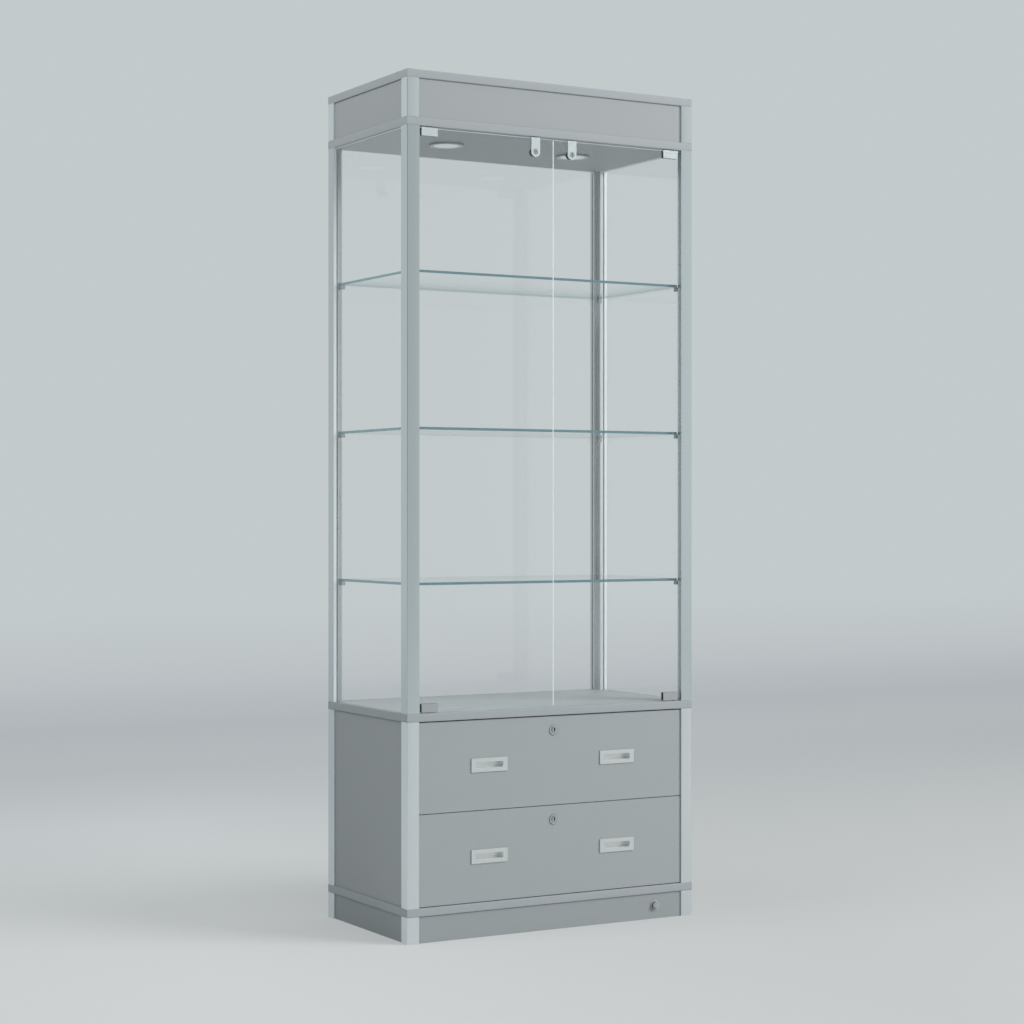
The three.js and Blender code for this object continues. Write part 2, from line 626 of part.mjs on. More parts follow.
// ---- Glass doors ----
// Each door's group has its origin on its pivot axis, at the deck. `inward` is the direction from
// the pivot to the middle of the cabinet, along X.
for (const [sideName, side] of SIDES) {
  const inward = -side;
  const door = groupAt(cabinet,
    fromSide(side, PIVOT_FROM_SIDE), fromEnd(-1, DOOR_MID), Z_GLASS);
  const innerEdge = HALF_W - DOOR_MEET_GAP / 2 - PIVOT_FROM_SIDE;
  const lockX = inward * (innerEdge - DOOR_LOCK_FROM_EDGE);
  const glassTop = GLASS_BAY_H - DOOR_END_GAP;
  put(door, `door_glass_${sideName}`, carve(
    block(
      [-inward * PIVOT_INSET, inward * innerEdge],
      [-DOOR_T / 2, DOOR_T / 2],
      [DOOR_END_GAP, glassTop],
    ),
    [],
    [rodY(SLEEVE_D + 2 * PLUG_FIT, -DOOR_T, DOOR_T).translate(lockX, 0, DOOR_LOCK_Z)],
  ), clearGlass);

  // Patch hinges: two jaws, a cap over the edge of the glass, and the pivot pin.
  const near = inward * (PATCH_INSET - PIVOT_INSET);
  const far = near + inward * PATCH_L;
  for (const [endName, up] of [["bottom", 0], ["top", 1]]) {
    const flip = (z) => (up ? GLASS_BAY_H - z : z);
    const cap = DOOR_END_GAP - PAD_GAP; // inner face of the cap, from the board
    put(door, `patch_hinge_${sideName}_${endName}`, carve(
      block(
        [near, far],
        [-PATCH_T / 2, PATCH_T / 2],
        [flip(PATCH_BOARD_GAP), flip(PATCH_BOARD_GAP + PATCH_H)],
      ),
      [rodZ(PIN_D, ...[flip(-PIN_BITE), flip(cap)].sort((a, b) => a - b))],
      [block(
        [near - inward * OVERCUT, far + inward * OVERCUT],
        [-JAW, JAW],
        [flip(cap), flip(PATCH_BOARD_GAP + PATCH_H + OVERCUT)],
      )],
    ), satinSteel);
  }

  // Lock case: a strap in front of the glass, a lip over its top edge, a sleeve through it and a
  // ring behind it. The plug turns in the sleeve.
  const lock = groupAt(door, lockX, 0, DOOR_LOCK_Z);
  const strapFront = -JAW - STRAP_T;
  const lipTop = GLASS_BAY_H - PATCH_BOARD_GAP - DOOR_LOCK_Z;
  const lipLow = glassTop + PAD_GAP - DOOR_LOCK_Z;
  const w = STRAP_W / 2;
  const strap = new THREE.Shape();
  strap.moveTo(w, lipTop);
  strap.lineTo(-w, lipTop);
  strap.absarc(0, 0, w, Math.PI, 2 * Math.PI);
  strap.lineTo(w, lipTop);
  put(lock, `door_lock_case_${sideName}`, carve(
    upright(strap, strapFront, -JAW),
    [
      block([-w, w], [strapFront, DOOR_T / 2], [lipLow, lipTop]),
      rodY(SLEEVE_D, -JAW - STRAP_T / 2, JAW + CASE_RING_T / 2),
      rodY(CASE_RING_D, JAW, CASE_BACK),
    ],
    [rodY(PLUG_D + 2 * PLUG_FIT, strapFront - OVERCUT, CASE_BACK + OVERCUT)],
  ), satinSteel);
  put(lock, `door_lock_plug_${sideName}`,
    lockPlug(strapFront - PLUG_PROUD, DOOR_TONGUE_Y, DOOR_TONGUE_L, DOOR_TONGUE_W),
    darkSteel);
}

// ---- Flush handles ----
// A plate on the face of the drawer front, with an open cup behind it. y is 0 on that face.
const CUP_L = GRIP_L + 2 * GRIP_WALL;
const CUP_H = GRIP_H + 2 * GRIP_WALL;
function handle() {
  const centred = (l, h, r) =>
    roundedRect(new THREE.Shape(), -l / 2, -h / 2, l / 2, h / 2, r);
  return carve(
    upright(centred(PLATE_L, PLATE_H, PLATE_R), -PLATE_T, 0),
    [upright(centred(CUP_L, CUP_H, GRIP_R + GRIP_WALL), -PLATE_T / 2, GRIP_DEPTH + GRIP_WALL)],
    [upright(centred(GRIP_L, GRIP_H, GRIP_R), -PLATE_T - OVERCUT, GRIP_DEPTH)],
  );
}

// ---- Drawers ----
// Each drawer's group has its origin on the front plane of the cabinet, at the lower edge of the
// drawer front, so y is the distance behind that plane.
for (const [name, frontZ, frontH] of DRAWERS) {
  const drawer = groupAt(cabinet, 0, fromEnd(-1, 0), frontZ);
  const halfFront = HALF_W - POST - DRAWER_SIDE_GAP;
  const lockZ = frontH - DRAWER_LOCK_DOWN;
  const handleZ = frontH / 2;
  const boreD = PLUG_D + 2 * PLUG_FIT;
  const roseFront = DRAWER_RECESS - ROSE_T;
  const handleHole = (side) => block(
    [side * HANDLE_SPREAD - CUP_L / 2 - HANDLE_FIT, side * HANDLE_SPREAD + CUP_L / 2 + HANDLE_FIT],
    [DRAWER_RECESS - OVERCUT, FRONT_BACK + OVERCUT],
    [handleZ - CUP_H / 2 - HANDLE_FIT, handleZ + CUP_H / 2 + HANDLE_FIT],
  );
  put(drawer, `drawer_front_${name}`, carve(
    block([-halfFront, halfFront], [DRAWER_RECESS, FRONT_BACK], [0, frontH]),
    [rodY(ROSE_D, roseFront, DRAWER_RECESS + ROSE_T).translate(0, 0, lockZ)],
    [
      rodY(boreD, roseFront - OVERCUT, FRONT_BACK + OVERCUT).translate(0, 0, lockZ),
      ...SIDES.map(([, side]) => handleHole(side)),
    ],
  ), frontGrey);

  const halfTray = HALF_W - TRAY_INSET;
  const trayBack = DEPTH - PANEL_RECESS - PANEL_T - TRAY_REAR_GAP;
  const trayTop = frontH - TRAY_DROP;
  const groove = (side) => block(
    [side * (halfTray - GROOVE_DEPTH), side * (halfTray + OVERCUT)],
    [FRONT_BACK - OVERCUT, trayBack + OVERCUT],
    [TRAY_UP + GROOVE_UP - RUNNER_H / 2 - RUNNER_FIT,
      TRAY_UP + GROOVE_UP + RUNNER_H / 2 + RUNNER_FIT],
  );
  put(drawer, `drawer_tray_${name}`, carve(
    block([-halfTray, halfTray], [FRONT_BACK, trayBack], [TRAY_UP, trayTop]),
    [],
    [
      block(
        [-halfTray + TRAY_WALL, halfTray - TRAY_WALL],
        [FRONT_BACK - OVERCUT, trayBack - TRAY_WALL],
        [TRAY_UP + TRAY_FLOOR, trayTop + OVERCUT],
      ),
      ...SIDES.map(([, side]) => groove(side)),
    ],
  ), trayGrey);

  const plugFront = roseFront - PLUG_PROUD;
  put(drawer, `drawer_lock_plug_${name}`,
    lockPlug(plugFront, DRAWER_TONGUE_Y, DRAWER_TONGUE_L, DRAWER_TONGUE_W),
    darkSteel, [0, 0, lockZ]);

  for (const [sideName, side] of SIDES) {
    put(drawer, `drawer_handle_${name}_${sideName}`, handle(), satinSteel,
      [side * HANDLE_SPREAD, DRAWER_RECESS, handleZ]);
  }
}

cabinet.name = `display_cabinet_${HEIGHT}`;
export default cabinet;
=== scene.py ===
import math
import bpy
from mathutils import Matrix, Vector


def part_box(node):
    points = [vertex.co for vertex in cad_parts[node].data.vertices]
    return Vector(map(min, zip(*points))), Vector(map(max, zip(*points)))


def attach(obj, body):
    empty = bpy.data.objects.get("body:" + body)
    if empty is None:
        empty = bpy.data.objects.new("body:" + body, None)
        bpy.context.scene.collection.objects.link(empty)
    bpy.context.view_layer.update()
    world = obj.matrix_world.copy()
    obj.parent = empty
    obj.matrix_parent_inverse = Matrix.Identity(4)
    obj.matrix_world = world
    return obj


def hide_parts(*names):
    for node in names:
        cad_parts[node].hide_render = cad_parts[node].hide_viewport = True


bl_info = {
    "name": "Glazed display cabinet",
    "version": (1, 0, 0),
    "blender": (4, 5, 0),
    "location": "View3D > Sidebar > Cabinet",
    "description": "Models and finishes a framed glass display cabinet over its fixed frame",
    "category": "Object",
}

import bmesh
import bpy
from bpy.props import FloatProperty, FloatVectorProperty, PointerProperty, StringProperty
from bpy.types import Operator, Panel, PropertyGroup
from mathutils import Vector

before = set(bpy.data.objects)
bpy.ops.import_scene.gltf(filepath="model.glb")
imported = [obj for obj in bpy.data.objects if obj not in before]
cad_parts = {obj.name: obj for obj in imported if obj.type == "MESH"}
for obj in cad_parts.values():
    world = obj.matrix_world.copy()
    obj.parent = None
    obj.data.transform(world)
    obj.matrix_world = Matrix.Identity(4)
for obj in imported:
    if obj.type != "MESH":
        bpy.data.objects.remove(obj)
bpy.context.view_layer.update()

MM = 0.001
LEFT, RIGHT, FRONT, REAR = -1, 1, -1, 1
SIDES = (("left", LEFT), ("right", RIGHT))
ENDS = (("front", FRONT), ("rear", REAR))
CORNERS = [(f"{end_name}_{side_name}", end, side) for end_name, end in ENDS for side_name, side in SIDES]

# Levels and faces of the frame that several pieces share.
TOP_LOW, TOP_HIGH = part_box("top_board")
HALF_W, HALF_D = TOP_HIGH.x, TOP_HIGH.y
BOARD = TOP_HIGH.z - TOP_LOW.z
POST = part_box("header_post_front_right")[1].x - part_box("header_post_front_right")[0].x
DECK_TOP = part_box("deck_board")[1].z
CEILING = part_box("ceiling_board")[1].z - BOARD

PAST = 1 * MM  # How far a cutter reaches past what it cuts.
PANEL_SET, PANEL_THICK = 4 * MM, 16 * MM  # A panel behind the cabinet's outer face.
STANDS_OUT = 2.5 * MM  # Handles and roses before the face of a drawer front.
PLUG_GAP = 0.3 * MM
TONGUE, HUB = 2.5 * MM, 19 * MM  # Thickness of a lock's tongue, and diameter of its hub.
LOOK_AT_KEYHOLE = 6 * MM  # A keyhole's faces lie nearer than this to the plug's face.
ROSE_RADIUS, ROSE_RIM = 12.25 * MM, 11.4 * MM
CAN_RADIUS = 34 * MM
LAMP_TINT = (1.0, 0.97, 0.945)
ROOM_TONE = "#c3cacb"
GLOW_TURN, DARK_TURN = math.radians(-42), math.radians(208)
COVE_TURN = 4.9  # The floor of the cove rises into its wall beyond this Y.
COLOURS = {"data_type": "RGBA"}  # What a Mix node mixes, where it isn't a number.
SMOOTH = {"interpolation_type": "SMOOTHSTEP"}
MATERIALS = {}


def spot(side, end, inset, setback, z):
    """A place measured inwards from a corner of the cabinet, at a height."""
    return side * (HALF_W - inset), end * (HALF_D - setback), z


# ---------------------------------------------------------------- settings


def number(name, value, description, **more):
    return FloatProperty(name=name, description=description, default=value, **more)


def length(name, value, description):
    return number(name, value, description, min=0.0, unit="LENGTH")


def hex_text(name, value, description):
    return StringProperty(name=name, description=description, default=value)


class CabinetSizes(PropertyGroup):
    edging: length("Edging", 8 * MM, "Width of the soft edging on a board's faces")
    seam: length("Seam", 0.25 * MM, "Gap between a board's core and its edging")
    panel_edge: length("Panel edge", 0.5 * MM, "Rounding of the laminated edges")
    post_lip: length("Post lip", 8 * MM, "Flat end faces of a glass-bay post")
    post_corner: length("Post corner", 2 * MM, "Rounding of a post's outer corner")
    post_wall: length("Post wall", 2.5 * MM, "Wall of the hollow square posts")
    slot_low: length("Slot start", 7.2 * MM, "Glazing slot from the outer face")
    slot_high: length("Slot end", 11.4 * MM, "Far side of the glazing slot")
    slot_depth: length("Slot depth", 6.2 * MM, "Depth of the glazing slot")
    glass_arris: length("Glass arris", 0.7 * MM, "Ground and polished edge of the glass")


class CabinetHardware(PropertyGroup):
    rest: length("Shelf rest", 9 * MM, "Width and height of a shelf rest")
    rest_side: length("Rest inset", 18 * MM, "Shelf rest from the side face")
    rest_end: length("Rest setback", 27 * MM, "Shelf rest from the front or rear face")
    patch_height: length("Patch height", 19 * MM, "Height of a patch hinge")
    patch_gap: length("Patch gap", 2 * MM, "Patch hinge from the board it turns in")
    patch_cover: length("Patch cover", 1.6 * MM, "Thickness of a hinge's cover plate")
    strap_width: length("Strap width", 22.5 * MM, "Width of a door lock's strap")
    plug: length("Key plug", 12 * MM, "Diameter of a key plug")
    plate: length("Handle plate", 2.5 * MM, "Thickness of a flush handle's plate")
    grip_length: length("Grip length", 70 * MM, "Length of the finger recess")
    grip_height: length("Grip height", 13 * MM, "Height of the finger recess")
    bezel_drop: length("Bezel drop", 4.5 * MM, "Downlight bezel below the ceiling board")
    lens: length("Lens", 58 * MM, "Diameter of a downlight's lens")


class CabinetFinishes(PropertyGroup):
    laminate: hex_text("Laminate", "#a3a8aa", "Grey melamine of the panels")
    # The boards' paler grey is painted light on the ceiling board's underside and on the deck.
    board: hex_text("Boards", "#b3bbbe", "Paler grey melamine of the four boards")
    front: hex_text("Drawer fronts", "#a2a8ab", "Grey melamine of the drawer fronts")
    edging: hex_text("Edging", "#a4aaae", "Soft grey edging")
    aluminium: hex_text("Aluminium", "#edf3f5", "Anodised square posts")
    slotted: hex_text("Slotted aluminium", "#dbe3e5", "Anodised glass-bay posts")
    nickel: hex_text("Nickel", "#dfe7e9", "Plated hinges and door locks")
    shelf_edge: hex_text("Shelf edge", "#7ba2ab", "Polished edge of the shelf glass")
    door_edge: hex_text("Door edge", "#fafdfd", "Polished edge of the standing glass")


class CabinetStudio(PropertyGroup):
    room: number("Room", 0.6, "Strength of the room light")
    glow: number("Glow", 0.35, "How much brighter the room is to the front right")
    dark: number("Dark", 0.62, "How much darker the room is to the front left")
    far_key: number("Far key", 0.45, "Strength of the far light to the front right")
    near_key: number("Near key", 185.0, "Watts of the near light to the front right")
    fill: number("Fill", 15.0, "Watts of the high left light")
    floor_own: number("Floor", 0.45, "Share of the floor's tone that ignores shadows")
    camera_place: FloatVectorProperty(
        name="Camera", description="Where the camera stands", size=3, unit="LENGTH",
        default=(-2.6444, -4.595, 0.9443),
    )
    camera_yaw: number("Camera yaw", math.radians(29.96), "How far the camera is turned to its right",
                       subtype="ANGLE")
    lens_mm: number("Lens", 79.7, "Focal length on a 36 mm sensor")


def settings(group):
    """One group of the settings: sizes, hardware, finishes or studio."""
    return getattr(bpy.context.scene, f"cabinet_{group}")


# ---------------------------------------------------------------- modelling by hand


def leave_edit():
    if bpy.context.object and bpy.context.object.mode != "OBJECT":
        bpy.ops.object.mode_set(mode="OBJECT")


def pick(*objs):
    """Selects these objects alone, with the first one active, in object mode."""
    leave_edit()
    bpy.ops.object.select_all(action="DESELECT")
    for obj in objs:
        obj.select_set(True)
    if objs:
        bpy.context.view_layer.objects.active = objs[0]


def settle(obj, name):
    """Puts the piece's place into its mesh, and leaves its object at the origin."""
    obj.name = obj.data.name = name
    pick(obj)
    bpy.ops.object.transform_apply(location=True, rotation=True, scale=True)
    return obj


def add_block(name, low, high):
    """A block between two opposite corners, given in any order."""
    lo, hi = Vector(map(min, low, high)), Vector(map(max, low, high))
    pick()
    bpy.ops.mesh.primitive_cube_add(size=1, location=(lo + hi) / 2)
    bpy.context.object.scale = hi - lo
    return settle(bpy.context.object, name)


def add_rod(name, start, end, radius, sides=48, tip_radius=None):
    """A round rod, or a cone where tip_radius is given, from start to end."""
    start, end = Vector(start), Vector(end)
    pick()
    bpy.ops.mesh.primitive_cone_add(
        vertices=sides, radius1=radius, radius2=radius if tip_radius is None else tip_radius,
        depth=(end - start).length, location=(start + end) / 2,
        rotation=(end - start).to_track_quat("Z", "Y").to_euler(),
    )
    return settle(bpy.context.object, name)


def turned(name, x, z, start, end, radius, sides=48, tip_radius=None):
    """A rod along Y, as turned on a lathe."""
    return add_rod(name, (x, start, z), (x, end, z), radius, sides, tip_radius)


def edit(obj, kind, test):
    """Enters edit mode with the vertices, edges or faces that pass the test selected."""
    pick(obj)
    bpy.ops.object.mode_set(mode="EDIT")
    bpy.ops.mesh.select_mode(type=kind)
    bpy.ops.mesh.select_all(action="DESELECT")
    shape = bmesh.from_edit_mesh(obj.data)
    for part in {"VERT": shape.verts, "EDGE": shape.edges, "FACE": shape.faces}[kind]:
        if test(part):
            part.select_set(True)
    shape.select_flush_mode()
    bmesh.update_edit_mesh(obj.data)


def runs_along(edge, axis):
    """Whether an edge runs along an axis: 0 for X, 1 for Y, 2 for Z."""
    run = edge.verts[1].co - edge.verts[0].co
    return abs(run[axis]) > 0.999 * run.length


def round_edges(obj, test, radius, steps):
    """Rounds the edges that pass the test, as a bevel with a circular profile."""
    edit(obj, "EDGE", test)
    bpy.ops.mesh.bevel(offset=radius, offset_type="OFFSET", segments=steps, profile=0.5, affect="EDGES")
    leave_edit()


def rounded_block(name, low, high, radius, steps=5):
    """A block whose four edges along Y are rounded."""
    block = add_block(name, low, high)
    round_edges(block, lambda e: runs_along(e, 1), radius, steps)
    return block


def apply_modifier(obj, kind, **options):
    """Adds a modifier with its options and applies it."""
    pick(obj)
    modifier = obj.modifiers.new(kind.lower(), kind)
    for key, value in options.items():
        setattr(modifier, key, value)
    bpy.ops.object.modifier_apply(modifier=modifier.name)


def cut(obj, *tools, operation="DIFFERENCE"):
    """Cuts the tools out of a piece, or joins or intersects them, and removes the tools."""
    for tool in tools:
        apply_modifier(obj, "BOOLEAN", object=tool, operation=operation, solver="EXACT")
        bpy.data.meshes.remove(tool.data)
    return obj


def merged_copy(node, name):
    """A copy of a frame node's mesh with its triangles joined up."""
    obj = bpy.data.objects.new(name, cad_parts[node].data.copy())
    obj.data.name = name
    obj.data.materials.clear()
    bpy.context.scene.collection.objects.link(obj)
    edit(obj, "VERT", lambda vert: True)
    bpy.ops.mesh.remove_doubles(threshold=0.002 * MM)
    bpy.ops.mesh.select_all(action="SELECT")
    bpy.ops.mesh.dissolve_limited(angle_limit=math.radians(0.5))
    leave_edit()
    return obj


def soften(obj, width, steps=3, angle=35):
    """Gives the sharp edges a small round, and smooth normals that keep the flats flat."""
    pick(obj)
    bpy.ops.object.shade_smooth_by_angle(angle=math.radians(angle))
    apply_modifier(
        obj, "BEVEL", width=width, segments=steps, limit_method="ANGLE",
        angle_limit=math.radians(angle), harden_normals=True, use_clamp_overlap=True,
    )
    return obj


def copy_to(obj, name, move):
    """A moved copy with its own mesh."""
    pick(obj)
    bpy.ops.object.duplicate()
    bpy.context.object.location = move
    return settle(bpy.context.object, name)


def paint_faces(obj, index, test):
    """Gives the faces that pass the test another of the piece's materials."""
    for face in obj.data.polygons:
        if test(face.center, face.normal):
            face.material_index = index


def dress(obj, body, slot, *finishes, stands_for=None):
    """Finishes a piece: its materials, the body it moves with and the node it stands for."""
    obj.data.materials.clear()
    for finish in finishes:
        obj.data.materials.append(MATERIALS[finish])
    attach(obj, body)
    if stands_for:
        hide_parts(stands_for)
    return obj


def dress_copy(node, ending, width, body, slot, *finishes, steps=3):
    """Finishes a softened copy of a frame node, which then stands for the node."""
    piece = soften(merged_copy(node, f"{node}_{ending}"), width, steps)
    return dress(piece, body, slot, *finishes, stands_for=node)


# ---------------------------------------------------------------- materials


def linear(text):
    """An sRGB hex value as linear red, green, blue and alpha."""
    parts = [int(text[i:i + 2], 16) / 255 for i in (1, 3, 5)]
    return [c / 12.92 if c <= 0.04045 else ((c + 0.055) / 1.055) ** 2.4 for c in parts] + [1.0]


def shade(colour, share):
    """A linear colour made darker or lighter by a share."""
    return [min(c * share, 1) for c in colour[:3]] + [1]


def drift(pattern, colour, dark, light):
    """The inputs of a colour mix that drifts between two shades of a colour."""
    return {"Factor": pattern, "A": shade(colour, dark), "B": shade(colour, light)}


def span(low, high, start=0.0, end=1.0):
    """The inputs of a Map Range node that takes low to start and high to end."""
    return {"From Min": low, "From Max": high, "To Min": start, "To Max": end}


def add_node(tree, kind, inputs=None, **options):
    """Adds a shader node with its options. An input is a value, another node's output, or
    a node, which gives the first of its outputs that is in use."""
    made = tree.nodes.new("ShaderNode" + kind)
    for key, value in options.items():
        setattr(made, key, value)
    for key, value in (inputs or {}).items():
        if isinstance(value, bpy.types.Node):
            value = next(output for output in value.outputs if output.enabled)
        if isinstance(value, bpy.types.NodeSocket):
            tree.links.new(value, made.inputs[key])
        else:
            made.inputs[key].default_value = value
    return made


def new_material(name):
    """An empty node material, and its tree."""
    material = bpy.data.materials.new(name)
    material.use_nodes = True
    material.node_tree.nodes.clear()
    return material, material.node_tree


def close(material, shader):
    """Leads a shader to the material's output, and gives the finished material."""
    add_node(material.node_tree, "OutputMaterial", {"Surface": shader})
    return material


def uneven(tree, mm, detail, roughness=0.5, run=(1, 1, 1)):
    """An uneven pattern with features of a real size: the piece's own coordinates in metres,
    stretched for patterns that run one way, and the noise that reads them."""
    coordinates = add_node(tree, "TexCoord").outputs["Object"]
    place = add_node(tree, "Mapping", {"Vector": coordinates, "Scale": run})
    return add_node(tree, "TexNoise", {
        "Vector": place, "Scale": 1 / (mm * MM), "Detail": detail, "Roughness": roughness,
    })


def texture(tree, pattern, gloss, spread, bump, deep_mm):
    """What a fine pattern does to a surface: its roughness varies, and it stands up a little."""
    return {
        "Roughness": add_node(tree, "MapRange", {
            "Value": pattern, **span(0, 1, gloss - spread, gloss + spread),
        }),
        "Normal": add_node(tree, "Bump", {
            "Height": pattern, "Strength": bump, "Distance": deep_mm * MM,
        }),
    }


def melamine(name, hex_colour, roughness=0.5):
    """Melamine-faced board: pressed paper under resin, so a matt face with a fine pearl
    texture, a barely uneven tone, and a soft sheen at low angles."""
    material, tree = new_material(name)
    colour = linear(hex_colour)
    # Tone drifts by a percent over about 150 mm, as pressed paper does.
    tone = add_node(tree, "Mix", drift(uneven(tree, 150, 2.0), colour, 0.985, 1.015), **COLOURS)
    # Pearl grain is about 0.6 mm on the real board; 3 mm is as fine as the picture shows.
    grain = uneven(tree, 3, 3.0, 0.6)
    speckled = add_node(tree, "Mix", {"Factor": grain, "A": tone, "B": shade(colour, 1.024)}, **COLOURS)
    return close(material, add_node(tree, "BsdfPrincipled", {
        "Base Color": speckled, "IOR": 1.5, **texture(tree, grain, roughness, 0.04, 0.06, 0.15),
    }))


def metal(name, hex_colour, roughness, run=(1, 1, 1), grain_mm=1.5, contrast=0.05, bump=0.04,
          bare=1.0):
    """A metal whose fine lines follow its making: `run` stretches the pattern along the lines.
    Below 1, `bare` leaves part of it under a milky lacquer that scatters light."""
    material, tree = new_material(name)
    lines = uneven(tree, grain_mm, 3.0, 0.55, run)
    tone = add_node(tree, "Mix", drift(lines, linear(hex_colour), 0.97, 1.02), **COLOURS)
    return close(material, add_node(tree, "BsdfPrincipled", {
        "Base Color": tone, "Metallic": bare,
        **texture(tree, lines, roughness, contrast, bump, 0.05),
    }))


def plastic(name, hex_colour, roughness=0.45):
    """Moulded plastic: one even colour with the fine spark-eroded texture of its mould."""
    material, tree = new_material(name)
    return close(material, add_node(tree, "BsdfPrincipled", {
        "Base Color": linear(hex_colour), "IOR": 1.49,
        **texture(tree, uneven(tree, 0.8, 2.0), roughness, 0.05, 0.08, 0.05),
    }))


def float_glass(name, hex_tint):
    """Toughened float glass seen through its faces: nearly clear, with a thin mirror of the
    room that grows at low angles, and the faint waves that the toughening oven leaves."""
    material, tree = new_material(name)
    # Roller waves are about 300 mm apart and only bend reflections.
    height = add_node(tree, "Bump", {
        "Height": uneven(tree, 300, 1.0, run=(1, 1, 2)), "Strength": 0.05, "Distance": 1 * MM,
    })
    clear = add_node(tree, "BsdfTransparent", {"Color": linear(hex_tint)})
    mirror = add_node(tree, "BsdfGlossy", {
        "Color": (1, 1, 1, 1), "Roughness": 0.02, "Normal": height,
    })
    # Light that leaves the sheet was not bent here, so its far face mirrors like the near one.
    leaving = add_node(tree, "NewGeometry").outputs["Backfacing"]
    bend = add_node(tree, "MapRange", {"Value": leaving, **span(0, 1, 1.45, 1 / 1.45)})
    angle = add_node(tree, "Fresnel", {"IOR": bend})
    return close(material, add_node(tree, "MixShader", {"Fac": angle, 1: clear, 2: mirror}))


def glass_edge(name, hex_colour, see_through, window=0.7, carry=0.5):
    """The ground and polished edge of a glass sheet: light that has run a long way through the
    sheet leaves here, so it shows the glass's own tint."""
    material, tree = new_material(name)
    colour = linear(hex_colour)
    streaks = uneven(tree, 25, 2.0, run=(1, 1, 8))
    tone = add_node(tree, "Mix", drift(streaks, colour, 0.88, 1.12), **COLOURS)
    surface = add_node(tree, "BsdfPrincipled", {"Base Color": tone, "Roughness": 0.12, "IOR": 1.5})
    # The sheet carries light in from its far side, and lets some straight through.
    carried = add_node(tree, "BsdfTranslucent", {"Color": tone})
    clear = add_node(tree, "BsdfTransparent", {"Color": colour})
    lit = add_node(tree, "MixShader", {"Fac": carry, 1: surface, 2: carried})
    # From inside the sheet the edge is a window: most of what is behind it shows.
    inside = add_node(tree, "NewGeometry").outputs["Backfacing"]
    share = add_node(tree, "MapRange", {"Value": inside, **span(0, 1, see_through, window)})
    return close(material, add_node(tree, "MixShader", {"Fac": share, 1: lit, 2: clear}))


def glass_rim(name, hex_colour):
    """The top edge of a standing sheet, which is seen through the sheet from below: total
    reflection makes it a mirror of the pale room, broken only by the grinding marks."""
    material, tree = new_material(name)
    colour = linear(hex_colour)
    spread = add_node(tree, "MapRange", {"Value": uneven(tree, 3, 2.0), **span(0, 1, 0.1, 0.25)})
    mirror = add_node(tree, "BsdfGlossy", {"Color": colour, "Roughness": spread})
    # Half of the rim glows: painted light, standing for the light that runs up inside the sheet and leaves
    # at the ground face.
    glow = add_node(tree, "Emission", {"Color": colour, "Strength": 0.7})
    return close(material, add_node(tree, "MixShader", {"Fac": 0.5, 1: mirror, 2: glow}))


def opal_lens(name, hex_colour, strength):
    """Opal acrylic over the lamp: an even milky disc that gives a little light of its own."""
    material, tree = new_material(name)
    colour = linear(hex_colour)
    tone = add_node(tree, "Mix", drift(uneven(tree, 20, 1.0), colour, 0.97, 1), **COLOURS)
    return close(material, add_node(tree, "BsdfPrincipled", {
        "Base Color": tone,
        "Roughness": 0.35, "IOR": 1.49, "Emission Color": colour, "Emission Strength": strength,
    }))


